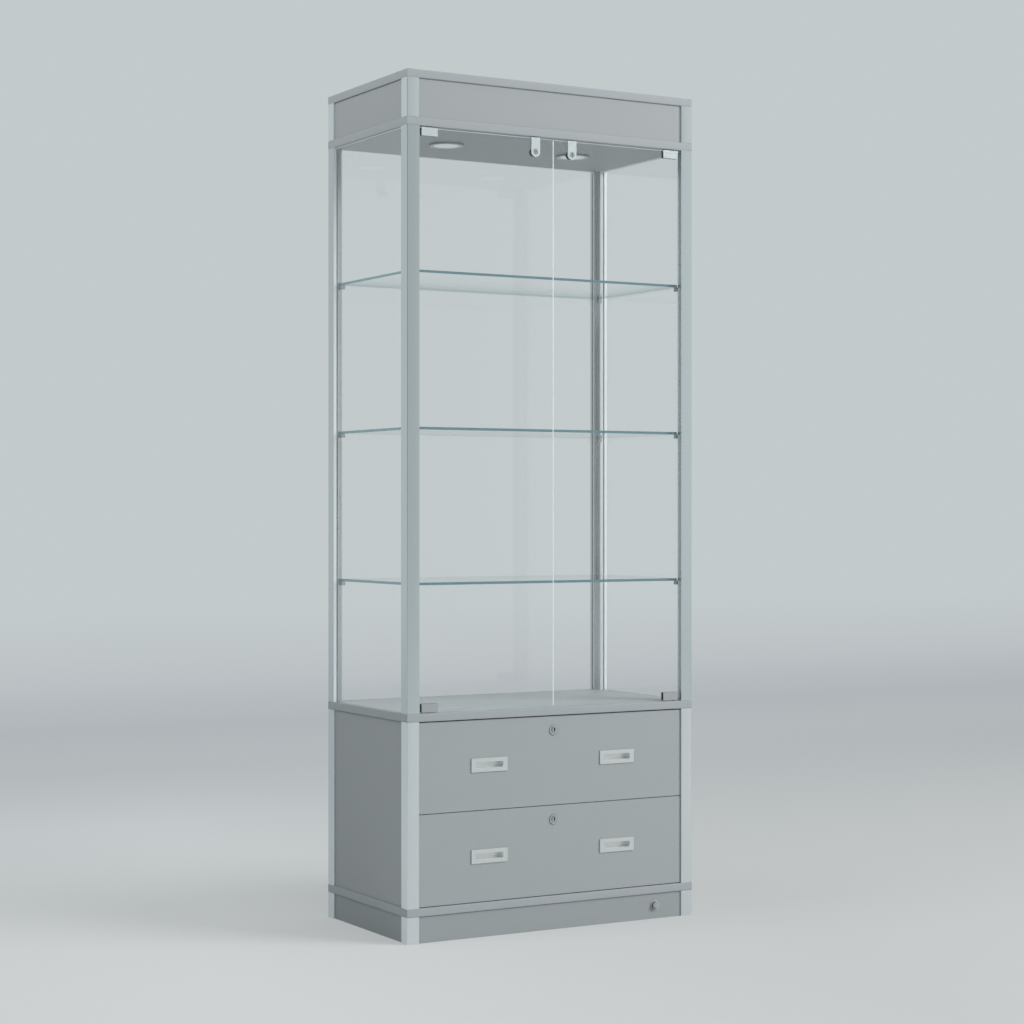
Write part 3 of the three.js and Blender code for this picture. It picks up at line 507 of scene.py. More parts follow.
class CABINET_OT_materials(Operator):
    """Makes the finishes that the pieces share"""
    bl_idname = "cabinet.materials"
    bl_label = "Finishes"

    def execute(self, context):
        look = settings("finishes")
        # Extruded, lightly etched and clear anodised: matt, with faint lines along Z.
        extruded = {"run": (1, 1, 0.02), "grain_mm": 1.2}
        # The slotted extrusion is polished before anodising, so it mirrors in crisp stripes.
        polished = {**extruded, "contrast": 0.04}
        MATERIALS.update(
            laminate=melamine("grey_melamine_panel", look.laminate),
            # The boards are a paler copy of the grey melamine: painted light on the ceiling board's
            # underside and on the deck.
            board=melamine("grey_melamine_board_painted_light", look.board),
            front=melamine("grey_melamine_front", look.front, 0.48),
            # The plinth panels are a darker copy of the grey melamine: painted shade near the floor.
            plinth=melamine("grey_melamine_plinth_painted_shade", "#9aa0a3"),
            tray=melamine("light_melamine_tray", "#c3c6c5", 0.55),
            # The edging is soft-touch thermoplastic strip, a shade darker than the boards.
            edging=plastic("soft_grey_edging", look.edging, 0.42),
            aluminium=metal("anodised_aluminium", look.aluminium, 0.34, **extruded),
            slotted=metal("polished_anodised_aluminium", look.slotted, 0.2, **polished),
            # The glazing slots get a near-white seal colour that paints light into their shade.
            seal=plastic("glazing_seal_painted_light", "#eef1f1", 0.5),
            # The rear posts: their front flats get a pale, mostly diffuse copy of the aluminium, a painted
            # highlight of the key light, and the rest of them a darker copy than the front ones, painted
            # shade.
            etched=metal("etched_aluminium_flat", "#ecf4f6", 0.34, bare=0.08, **extruded),
            slotted_rear=metal("polished_aluminium_painted_shade", "#d3d9dc", 0.2, **polished),
            shaded=metal("shaded_polished_aluminium", "#c0c7ca", 0.22, **polished),
            aluminium_rear=metal("anodised_aluminium_painted_shade", "#dce2e5", 0.34, **extruded),
            # Polished before plating, so it mirrors the studio almost cleanly.
            bright=metal("bright_nickel_plate", look.nickel, 0.2, grain_mm=2, contrast=0.03,
                         bump=0.02, bare=0.6),
            # The lower hinges, low in the bay, get a greyer and duller copy of the hinge finish: painted
            # shade.
            dull=metal("hinge_cover_painted_shade", "#b3b8ba", 0.4, grain_mm=2, bare=0.5),
            # Brushed along its length before plating.
            satin=metal("satin_nickel_plate", "#dadfdf", 0.36, run=(0.05, 1, 1), grain_mm=0.8,
                        contrast=0.06, bare=0.6),
            # The inside of the cup is a paler, more diffuse copy of the nickel: painted light in the
            # recess.
            cup=metal("nickel_cup_painted_light", "#f1f4f4", 0.28, grain_mm=0.8, contrast=0.01,
                      bump=0.005, bare=0.4),
            pewter=metal("pewter_nickel_plate", "#c6cbcd", 0.28, grain_mm=1.0, bare=0.9),
            steel=metal("zinc_plated_steel", "#b9bcbd", 0.38, grain_mm=1.0, contrast=0.08),
            black=plastic("black_nylon", "#1d2022", 0.5),
            grey=plastic("grey_polymer", "#a1a6a8", 0.4),
            switch=plastic("grey_switch_plastic", "#b4b9bb", 0.38),
            # Keyways and the switch's bore are painted dark: painted shade in the recesses.
            key_dark=plastic("keyway_painted_shade", "#5d6365", 0.6),
            glass=float_glass("clear_float_glass", "#ffffff"),
            shelf=float_glass("shelf_float_glass", "#fdfefe"),
            shelf_edge=glass_edge("shelf_glass_edge", look.shelf_edge, 0.05),
            door_edge=glass_edge("door_glass_edge", look.door_edge, 0.1, window=0.95, carry=0.8),
            rim=glass_rim("glass_top_rim", look.door_edge),
            lamp_ring=plastic("powder_coated_bezel", "#dde1e1", 0.5),
            # The bezel's outer wall is painted darker: painted shade.
            lamp_shadow=plastic("bezel_wall_painted_shade", "#a0a5a6", 0.6),
            lens=opal_lens("opal_acrylic_lens", "#e6eaea", 0.24),
        )
        return {"FINISHED"}


# ---------------------------------------------------------------- boards, posts and panels


class CABINET_OT_boards(Operator):
    """Parts each board into its laminated core and the soft edging bonded round it"""
    bl_idname = "cabinet.boards"
    bl_label = "Boards and edging"

    def execute(self, context):
        size = settings("sizes")
        for node in ("base_board", "deck_board", "ceiling_board", "top_board"):
            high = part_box(node)[1].z
            low = high - BOARD
            # The edging keeps what stands under the core, so its cutter reaches far below.
            for part, inset, floor, operation, angle, stands_for in (
                ("core", size.edging + size.seam / 2, low - 0.02 * MM, "INTERSECT", 35, node),
                ("edging", size.edging - size.seam / 2, low - 30 * MM, "DIFFERENCE", 40, None),
            ):
                piece = cut(
                    merged_copy(node, f"{node}_{part}"),
                    add_block(f"{part}_cutter", spot(LEFT, FRONT, inset, inset, floor),
                              spot(RIGHT, REAR, inset, inset, high + PAST)),
                    operation=operation,
                )
                soften(piece, 0.2 * MM, steps=2, angle=angle)
                # The core takes the boards' paler melamine, which is painted light.
                dress(piece, "cabinet", "grey_board", "board" if stands_for else "edging",
                      stands_for=stands_for)
        return {"FINISHED"}


class CABINET_OT_square_posts(Operator):
    """Models the hollow square posts of the plinth, the drawer bay and the header"""
    bl_idname = "cabinet.square_posts"
    bl_label = "Square posts"

    def execute(self, context):
        size = settings("sizes")
        rim = size.post_wall * 0.9
        for storey in ("plinth_post", "drawer_bay_post", "header_post"):
            for place, end, _ in CORNERS:
                node = f"{storey}_{place}"
                low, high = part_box(node)
                post = add_block(f"{node}_extrusion", low, high)
                round_edges(post, lambda e: runs_along(e, 2), size.post_corner, 5)
                edit(post, "FACE", lambda f: abs(f.normal.z) > 0.9)
                bpy.ops.mesh.inset(thickness=size.post_wall)
                bpy.ops.mesh.delete(type="FACE")
                leave_edit()

                def inside(edge):
                    """Whether an edge borders the hollow at an open end."""
                    mid = (edge.verts[0].co + edge.verts[1].co) / 2
                    return len(edge.link_faces) == 1 and not runs_along(edge, 2) and all(
                        low[i] + rim < mid[i] < high[i] - rim for i in (0, 1)
                    )

                edit(post, "EDGE", inside)
                bpy.ops.mesh.bridge_edge_loops()
                bpy.ops.mesh.select_all(action="SELECT")
                bpy.ops.mesh.normals_make_consistent(inside=False)
                leave_edit()
                soften(post, 0.15 * MM, steps=2, angle=40)
                # The rear posts below the header take a darker copy of the anodised finish: painted shade.
                shaded_rear = end == REAR and storey != "header_post"
                dress(post, "cabinet", "post_aluminium", "aluminium_rear" if shaded_rear else "aluminium",
                      stands_for=node)
        return {"FINISHED"}


class CABINET_OT_glass_bay_posts(Operator):
    """Models the glass-bay posts: two flats, a quarter-round inner side and glazing slots"""
    bl_idname = "cabinet.glass_bay_posts"
    bl_label = "Glass-bay posts"

    def execute(self, context):
        size = settings("sizes")
        near, far, deep = size.slot_low, size.slot_high, POST - size.slot_depth
        past, bottom, top = POST + PAST, DECK_TOP - PAST, CEILING + PAST
        for place, end, side in CORNERS:
            node = f"glass_bay_post_{place}"
            outer = Vector(spot(side, end, 0, 0, DECK_TOP))
            inner = Vector(spot(side, end, POST, POST, CEILING))
            post = add_block(f"{node}_extrusion", outer, inner)

            def at(edge, corner):
                """Whether an edge is the upright one at a corner of the section."""
                return runs_along(edge, 2) and all(
                    abs(v.co[i] - corner[i]) < 0.1 * MM for v in edge.verts for i in (0, 1)
                )

            round_edges(post, lambda e: at(e, inner), POST - size.post_lip, 20)
            round_edges(post, lambda e: at(e, outer), size.post_corner, 5)
            slots = [add_block("slot_cutter", spot(side, end, near, deep, bottom),
                               spot(side, end, far, past, top))]
            if end == REAR:
                slots.append(add_block("slot_cutter", spot(side, end, deep, near, bottom),
                                       spot(side, end, past, far, top)))
            soften(cut(post, *slots), 0.15 * MM, steps=2, angle=25)
            dress(post, "cabinet", "post_aluminium", "slotted" if end == FRONT else "slotted_rear",
                  "seal", "etched", "shaded", stands_for=node)

            def in_slot(centre):
                """Whether a face lies inside a glazing slot, away from the outer skin."""
                u, v = abs(abs(centre.x) - HALF_W), abs(abs(centre.y) - HALF_D)
                return any(
                    near - 0.05 * MM < a < far + 0.05 * MM and deep - 0.1 * MM < b < POST
                    for a, b in ([(u, v)] if end == FRONT else [(u, v), (v, u)])
                )

            # The faces inside the glazing slots get the near-white seal colour: painted light in the
            # shaded slots.
            paint_faces(post, 1, lambda centre, normal: in_slot(centre))
            if end == REAR:
                # Painted highlight of the key light: the pale flat finish goes on the lip of the left
                # post, and on all of the right.
                paint_faces(post, 2, lambda centre, normal: (
                    normal.y < -0.88 and not in_slot(centre)
                    and (side == RIGHT or HALF_W - abs(centre.x) < near)
                ))
            else:
                paint_faces(post, 3, lambda centre, normal: (
                    normal.x * side < -0.2 and not in_slot(centre)
                ))
        return {"FINISHED"}


class CABINET_OT_panels(Operator):
    """Finishes the plinth, header, side and back panels, with the runners and the cross rail"""
    bl_idname = "cabinet.panels"
    bl_label = "Panels"

    def execute(self, context):
        edge = settings("sizes").panel_edge
        # The plinth panels take the darker melamine, which is painted shade near the floor.
        for storey, finish in (("plinth_panel", "plinth"), ("header_panel", "laminate")):
            for place, _ in ENDS + SIDES:
                # The front plinth panel is made with the switch in it.
                if (storey, place) != ("plinth_panel", "front"):
                    dress_copy(f"{storey}_{place}", "board", edge, "cabinet", "grey_panel", finish)
        self.header_seals()
        dress_copy("back_panel", "board", edge, "cabinet", "grey_panel", "laminate")
        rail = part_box("drawer_front_lower")[1].z
        for place, side in SIDES:
            panel = dress_copy(f"side_panel_{place}", "board", edge / 2, "cabinet", "grey_panel",
                               "laminate", "steel", steps=2)
            # The runners stand on the panel's inner face; the cross rail keeps the laminate.
            paint_faces(panel, 1, lambda centre, normal: (
                centre.x * side > 0
                and PANEL_SET + PANEL_THICK + 0.05 * MM < HALF_W - abs(centre.x) < POST + 26 * MM
                and not rail - 1 * MM < centre.z < rail + 20 * MM
            ))
        return {"FINISHED"}

    @staticmethod
    def header_seals():
        """Foam strips that close the gap between the header panels and the top board."""
        set_back, thick = 0.4 * MM, 6 * MM
        for axis, places in ((1, ENDS), (0, SIDES)):
            for place, outwards in places:
                low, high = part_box(f"header_panel_{place}")
                skin = (low if outwards < 0 else high)[axis]
                near, far = Vector(low), Vector(high)
                near.z, far.z = high.z, TOP_HIGH.z - BOARD
                near[axis] = skin - outwards * set_back
                far[axis] = skin - outwards * (set_back + thick)
                seal = soften(add_block(f"header_seal_{place}", near, far), 0.3 * MM)
                dress(seal, "cabinet", "grey_panel", "edging")


# ---------------------------------------------------------------- glass


def finish_glass(node, body, slot, face, edge, thin_axis):
    """A sheet with ground edges: clear faces, and a polished edge all round and in its holes.
    A standing sheet also has its mirror-like top rim."""
    arris = settings("sizes").glass_arris
    sheet = dress_copy(node, "sheet", arris, body, slot, face, edge, "rim", steps=2)
    paint_faces(sheet, 1, lambda centre, normal: abs(normal[thin_axis]) < 0.9)
    if thin_axis != 2:
        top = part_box(node)[1].z
        paint_faces(sheet, 2, lambda centre, normal: (
            normal.z > 0.3 and centre.z > top - 2 * arris
        ))


class CABINET_OT_fixed_glass(Operator):
    """Finishes the three fixed panes and the three glass shelves"""
    bl_idname = "cabinet.fixed_glass"
    bl_label = "Panes and shelves"

    def execute(self, context):
        for place, thin_axis in (("left", 0), ("right", 0), ("rear", 1)):
            finish_glass(f"glass_pane_{place}", "cabinet", "clear_glass", "glass", "door_edge", thin_axis)
        for level in ("lower", "middle", "upper"):
            finish_glass(f"shelf_{level}", "cabinet", "shelf_glass", "shelf", "shelf_edge", 2)
        return {"FINISHED"}


class CABINET_OT_shelf_rests(Operator):
    """Models the twelve rests under the shelf corners, each fixed to its post"""
    bl_idname = "cabinet.shelf_rests"
    bl_label = "Shelf rests"

    def execute(self, context):
        part = settings("hardware")
        u, v, w = part.rest_side, part.rest_end, part.rest
        into_post = 3 * MM
        for level in ("lower", "middle", "upper"):
            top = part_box(f"shelf_{level}")[0].z
            for place, end, side in CORNERS:
                rest = add_block(f"shelf_rest_{level}_{place}",
                                 spot(side, end, u, v - into_post, top - w),
                                 spot(side, end, u + w, v + w, top))
                dress(soften(rest, 0.7 * MM), "cabinet", "post_aluminium", "grey")
        return {"FINISHED"}


# ---------------------------------------------------------------- doors


class CABINET_OT_doors(Operator):
    """Finishes the two frameless glass doors"""
    bl_idname = "cabinet.doors"
    bl_label = "Doors"

    def execute(self, context):
        for place, _ in SIDES:
            finish_glass(f"door_glass_{place}", f"{place}_door", "clear_glass", "glass", "door_edge", 1)
        return {"FINISHED"}


class CABINET_OT_patch_hinges(Operator):
    """Models the four patch hinges: two covers over a dark clamp, and the pivot pin"""
    bl_idname = "cabinet.patch_hinges"
    bl_label = "Patch hinges"

    def execute(self, context):
        part = settings("hardware")
        inset, clear, cover = 0.3 * MM, 0.2 * MM, part.patch_cover
        for place, side in SIDES:
            body = f"{place}_door"
            glass_low, glass_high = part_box(f"door_glass_{place}")
            # The lower hinges take the greyer finish, which is painted shade.
            for level, board, sign, glass_end, finish in (
                ("bottom", DECK_TOP, 1, glass_low.z, "dull"),
                ("top", CEILING, -1, glass_high.z, "bright"),
            ):
                node = f"patch_hinge_{place}_{level}"
                low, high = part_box(node)
                near = board + sign * part.patch_gap
                far = near + sign * part.patch_height
                clamp = add_block(f"{node}_clamp",
                                  (low.x + inset, low.y + cover, near + sign * inset),
                                  (high.x - inset, high.y - cover, far - sign * inset))
                cut(clamp, add_block(
                    "glass_cutter",
                    (low.x - PAST, glass_low.y - clear, glass_end - sign * clear),
                    (high.x + PAST, glass_high.y + clear, far + sign * PAST),
                ))
                soften(clamp, 0.2 * MM, steps=2)
                dress(clamp, body, "satin_steel", "black", stands_for=node)
                for face, y0, y1 in (("front", low.y, low.y + cover), ("rear", high.y - cover, high.y)):
                    plate = add_block(f"{node}_{face}_cover", (low.x, y0, near), (high.x, y1, far))
                    dress(soften(plate, 0.4 * MM), body, "satin_steel", finish)
                pivot_x = low.x + 7 * MM if side == LEFT else high.x - 7 * MM
                pivot_y = (low.y + high.y) / 2
                pin = add_rod(f"{node}_pin", (pivot_x, pivot_y, near + sign * 0.6 * MM),
                              (pivot_x, pivot_y, board - sign * 8 * MM), 4 * MM)
                dress(soften(pin, 0.4 * MM), body, "satin_steel", "steel")
        return {"FINISHED"}


def lock_works(node, body, x, z, keyhole, reach, arm_width, arm_finish):
    """What turns in a lock: a key plug with a keyhole of a round over a slot, and its tongue, a
    hub with an arm along +X. Gives the Y where the tongue begins."""
    low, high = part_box(node)
    face, radius = low.y, settings("hardware").plug / 2
    tongue_low = high.y - TONGUE
    width, height, depth = keyhole
    plug = turned(f"{node}_barrel", x, z, face, tongue_low, radius)
    slot = add_block("key_cutter", (x - width / 2, face - PAST, z - height / 2),
                     (x + width / 2, face + depth, z + height / 2))
    eye = turned("key_cutter", x, z + height * 0.2, face - PAST, face + depth * 0.6, width * 0.95, 24)
    soften(cut(plug, slot, eye), 0.35 * MM, steps=2)
    dress(plug, body, "dark_steel", "pewter", "key_dark", stands_for=node)
    # The keyhole's faces are painted dark: painted shade in the keyway.
    paint_faces(plug, 1, lambda centre, normal: (
        face + 0.15 * MM < centre.y < face + LOOK_AT_KEYHOLE
        and math.hypot(centre.x - x, centre.z - z) < radius - 0.6 * MM
    ))
    arm = add_block(f"{node}_tongue", (x, tongue_low, z - arm_width / 2),
                    (x + reach, high.y, z + arm_width / 2))
    round_edges(arm, lambda e: runs_along(e, 1) and e.verts[0].co.x > x + reach / 2, arm_width * 0.3, 4)
    cut(arm, turned("hub", x, z, tongue_low, high.y, HUB / 2, 40), operation="UNION")
    dress(soften(arm, 0.25 * MM, steps=2), body, "dark_steel", arm_finish)
    return tongue_low


class CABINET_OT_door_locks(Operator):
    """Models the two hanging door locks, their key plugs and tongues, and the strikes"""
    bl_idname = "cabinet.door_locks"
    bl_label = "Door locks"

    def execute(self, context):
        part = settings("hardware")
        half, bore = part.strap_width / 2, part.plug / 2 + PLUG_GAP
        strike_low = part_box("ceiling_board")[0].z
        for place, _ in SIDES:
            node, body = f"door_lock_case_{place}", f"{place}_door"
            low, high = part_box(node)
            x, z = (low.x + high.x) / 2, low.z + half
            glass_low, glass_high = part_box(f"door_glass_{place}")
            back = glass_low.y - 0.3 * MM
            strap = add_block(f"{node}_strap", (low.x, low.y, z), (high.x, back, high.z))
            cut(strap, turned("strap_round", x, z, low.y, back, half, 64),
                add_block("strap_lip", (low.x, low.y, glass_high.z + 0.3 * MM),
                          (high.x, glass_high.y, high.z)), operation="UNION")
            cut(strap, turned("plug_cutter", x, z, low.y - PAST, back + PAST, bore))
            dress(soften(strap, 0.5 * MM), body, "satin_steel", "bright", stands_for=node)

            # The sleeve through the glass and the nut behind it are black nylon.
            sleeve = turned(f"{node}_sleeve", x, z, back + 0.05 * MM, high.y - 1 * MM, 8 * MM)
            cut(sleeve, turned("nut", x, z, glass_high.y + 0.3 * MM, high.y, 9.5 * MM, 64),
                operation="UNION")
            cut(sleeve, turned("plug_cutter", x, z, low.y - PAST, high.y + PAST, bore))
            dress(soften(sleeve, 0.3 * MM, steps=2), body, "satin_steel", "black")

            tongue_low = lock_works(f"door_lock_plug_{place}", f"{body}_lock", x, z,
                                    (1.3 * MM, 7 * MM, 1.2 * MM), 17 * MM, 10 * MM, "black")
            strike = add_block(f"door_lock_strike_{place}",
                               (x - 4 * MM, glass_high.y + 0.5 * MM, strike_low),
                               (x + 4 * MM, tongue_low - 0.3 * MM, CEILING))
            round_edges(
                strike, lambda e: runs_along(e, 1) and e.verts[0].co.z < strike_low + 1 * MM, 2 * MM, 4
            )
            dress(soften(strike, 0.3 * MM, steps=2), "cabinet", "dark_steel", "steel")
        return {"FINISHED"}


# ---------------------------------------------------------------- drawers


class CABINET_OT_drawers(Operator):
    """Models the drawer fronts with their cut-outs, and finishes the trays"""
    bl_idname = "cabinet.drawers"
    bl_label = "Drawers"

    def execute(self, context):
        part = settings("hardware")
        clear = 2.1 * MM
        half_l, half_h = part.grip_length / 2 + clear, part.grip_height / 2 + clear
        for level in ("upper", "lower"):
            body, node = f"{level}_drawer", f"drawer_front_{level}"
            low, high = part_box(node)
            face, behind = low.y + STANDS_OUT, high.y + PAST
            plug_low, plug_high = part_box(f"drawer_lock_plug_{level}")
            front = add_block(f"{node}_board", (low.x, face, low.z), high)
            holes = [turned("lock_cutter", 0, (plug_low.z + plug_high.z) / 2, face - PAST, behind,
                            part.plug / 2 + PLUG_GAP)]
            for place, _ in SIDES:
                cup_low, cup_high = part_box(f"drawer_handle_{level}_{place}")
                middle = (cup_low + cup_high) / 2
                holes.append(add_block("handle_cutter",
                                       (middle.x - half_l, face - PAST, middle.z - half_h),
                                       (middle.x + half_l, behind, middle.z + half_h)))
            soften(cut(front, *holes), settings("sizes").panel_edge)
            dress(front, body, "grey_front", "front", stands_for=node)
            dress_copy(f"drawer_tray_{level}", "box", 0.6 * MM, body, "tray_board", "tray")
        return {"FINISHED"}


class CABINET_OT_handles(Operator):
    """Models one flush handle, a plate with a finger cup behind it, and copies it"""
    bl_idname = "cabinet.handles"
    bl_label = "Flush handles"

    def execute(self, context):
        part = settings("hardware")
        first = "drawer_handle_upper_left"
        low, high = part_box(first)
        x, _, z = (low + high) / 2
        back = low.y + part.plate
        half_l, half_h, wall = part.grip_length / 2, part.grip_height / 2, 1.8 * MM
        handle = rounded_block(f"{first}_pressing", low, (high.x, back, high.z), 1.2 * MM, 4)
        cut(handle, rounded_block(
            "cup_outside", (x - half_l - wall, back - 1 * MM, z - half_h - wall),
            (x + half_l + wall, high.y, z + half_h + wall), 4.8 * MM,
        ), operation="UNION")
        hollow = rounded_block("cup_inside", (x - half_l, low.y - PAST, z - half_h),
                               (x + half_l, high.y - wall, z + half_h), 3 * MM)
        # The back of the cup is a scoop: its long edges are rounded far more than its ends.
        floor = high.y - wall - 0.1 * MM
        round_edges(
            hollow, lambda e: runs_along(e, 0) and all(v.co.y > floor for v in e.verts), 5.5 * MM, 8
        )
        soften(cut(handle, hollow), 0.45 * MM)
        # The first one is finished last, so that the copies are made of a plain pressing.
        for level, place in (("upper", "right"), ("lower", "left"), ("lower", "right"), ("upper", "left")):
            node = f"drawer_handle_{level}_{place}"
            piece = handle
            if node != first:
                piece = copy_to(handle, f"{node}_pressing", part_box(node)[0] - low)
            dress(piece, f"{level}_drawer", "satin_steel", "satin", "cup", stands_for=node)
            self.paint_cup(piece)
        return {"FINISHED"}

    @staticmethod
    def paint_cup(handle):
        """Gives the inside of a handle's cup its paler finish, which paints light into the recess."""
        part = settings("hardware")
        xs, ys, zs = zip(*(v.co for v in handle.data.vertices))
        x, z, wall = (min(xs) + max(xs)) / 2, (min(zs) + max(zs)) / 2, 0.9 * MM
        half_l, half_h = part.grip_length / 2 + 0.1 * MM, part.grip_height / 2 + 0.1 * MM
        paint_faces(handle, 1, lambda centre, normal: (
            min(ys) + 0.5 * MM < centre.y < max(ys) - wall
            and abs(centre.x - x) < half_l and abs(centre.z - z) < half_h
        ))


class CABINET_OT_drawer_locks(Operator):
    """Models the drawer locks: a dished rose, a key plug and a tongue behind the front"""
    bl_idname = "cabinet.drawer_locks"
    bl_label = "Drawer locks"

    def execute(self, context):
        for level in ("upper", "lower"):
            node = f"drawer_lock_plug_{level}"
            low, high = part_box(node)
            z = (low.z + high.z) / 2
            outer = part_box(f"drawer_front_{level}")[0].y
            face, before = outer + STANDS_OUT, outer - PAST
            rose = turned(f"drawer_lock_rose_{level}", 0, z, face, outer, ROSE_RADIUS, 64, ROSE_RIM)
            # The face is dished inside its rim, down to the plug.
            cut(rose, turned("dish_cutter", 0, z, outer + 1.3 * MM, before, 7.2 * MM, 64, 11.5 * MM))
            cut(rose, turned("plug_cutter", 0, z, face + PAST, before,
                             settings("hardware").plug / 2 + PLUG_GAP))
            dress(soften(rose, 0.3 * MM), f"{level}_drawer", "satin_steel", "pewter")
            lock_works(node, f"{level}_drawer_lock", 0, z, (2.4 * MM, 8 * MM, 3 * MM),
                       38 * MM, 12 * MM, "steel")
        return {"FINISHED"}


# ---------------------------------------------------------------- lights and switch


class CABINET_OT_downlights(Operator):
    """Models the two recessed downlights: bezel, opal lens and the can above the ceiling"""
    bl_idname = "cabinet.downlights"
    bl_label = "Downlights"

    def execute(self, context):
        part = settings("hardware")
        drop, lens_radius = CEILING - part.bezel_drop, part.lens / 2
        for place, _ in SIDES:
            node = f"downlight_{place}"
            low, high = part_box(node)
            x, y, radius = (low.x + high.x) / 2, (low.y + high.y) / 2, (high.x - low.x) / 2
            seat = (x, y, CEILING - 0.3 * MM)
            bezel = add_rod(f"{node}_bezel", seat, (x, y, drop), radius, 96, radius - 1.2 * MM)
            cut(bezel, add_rod("lens_cutter", (x, y, drop + 1.6 * MM), (x, y, drop - PAST),
                               lens_radius, 96, lens_radius + 2.4 * MM))
            dress(soften(bezel, 0.7 * MM), "cabinet", "lamp_white", "lamp_ring", "lamp_shadow",
                  stands_for=node)
            # The bezel's outer wall takes the darker grey, which is painted shade.
            paint_faces(bezel, 1, lambda centre, normal: (
                abs(normal.z) < 0.5 and math.hypot(centre.x - x, centre.y - y) > radius - 1.3 * MM
            ))
            lens = add_rod(f"{node}_lens", (x, y, drop + 2 * MM), (x, y, drop + 1 * MM), lens_radius, 96)
            dress(soften(lens, 0.3 * MM, steps=2), "cabinet", "lamp_white", "lens")
            can = add_rod(f"{node}_can", seat, (x, y, high.z), CAN_RADIUS, 64)
            dress(soften(can, 1.5 * MM), "cabinet", "lamp_white", "steel")
        return {"FINISHED"}


class CABINET_OT_switch(Operator):
    """Models the front plinth panel with the push-button switch in it"""
    bl_idname = "cabinet.switch"
    bl_label = "Plinth switch"

    def execute(self, context):
        node = "plinth_panel_front"
        low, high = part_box(node)
        cap_low, cap_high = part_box("switch_cap")
        x, z = (cap_low.x + cap_high.x) / 2, (cap_low.z + cap_high.z) / 2
        face = FRONT * (HALF_D - PANEL_SET)
        flange, hole, tube, bore, button = 12 * MM, 9.9 * MM, 8.8 * MM, 7.3 * MM, 7 * MM
        panel = add_block(f"{node}_board", (low.x, face, low.z), (high.x, face + PANEL_THICK, high.z))
        cut(panel, turned("switch_cutter", x, z, face - PAST, face + 20 * MM, hole))
        soften(panel, settings("sizes").panel_edge)
        # The panel takes the plinth's darker melamine, which is painted shade near the floor.
        dress(panel, "cabinet", "grey_panel", "plinth", stands_for=node)

        collar = turned("switch_collar", x, z, face, face - 1.5 * MM, flange, 64, 11.4 * MM)
        cut(collar, turned("collar_tube", x, z, high.y, low.y, tube, 64), operation="UNION")
        cut(collar, turned("bore_cutter", x, z, low.y - PAST, high.y - 3 * MM, bore, 64))
        dress(soften(collar, 0.6 * MM), "cabinet", "dark_steel", "switch", "key_dark")
        # The neck of the collar and its bore are painted dark: painted shade.
        paint_faces(collar, 1, lambda centre, normal: (
            math.hypot(centre.x - x, centre.z - z) < 9.2 * MM
            and low.y + 0.4 * MM < centre.y < face - 1.6 * MM
        ))

        cap = turned("switch_button", x, z, cap_high.y, cap_low.y, button, 64)
        front = cap_low.y + 0.1 * MM
        round_edges(cap, lambda e: all(v.co.y < front for v in e.verts), 1.2 * MM, 4)
        pick(cap)
        bpy.ops.object.shade_smooth_by_angle(angle=math.radians(35))
        dress(cap, "switch_cap", "dark_steel", "grey", stands_for="switch_cap")
        return {"FINISHED"}


# ---------------------------------------------------------------- stage


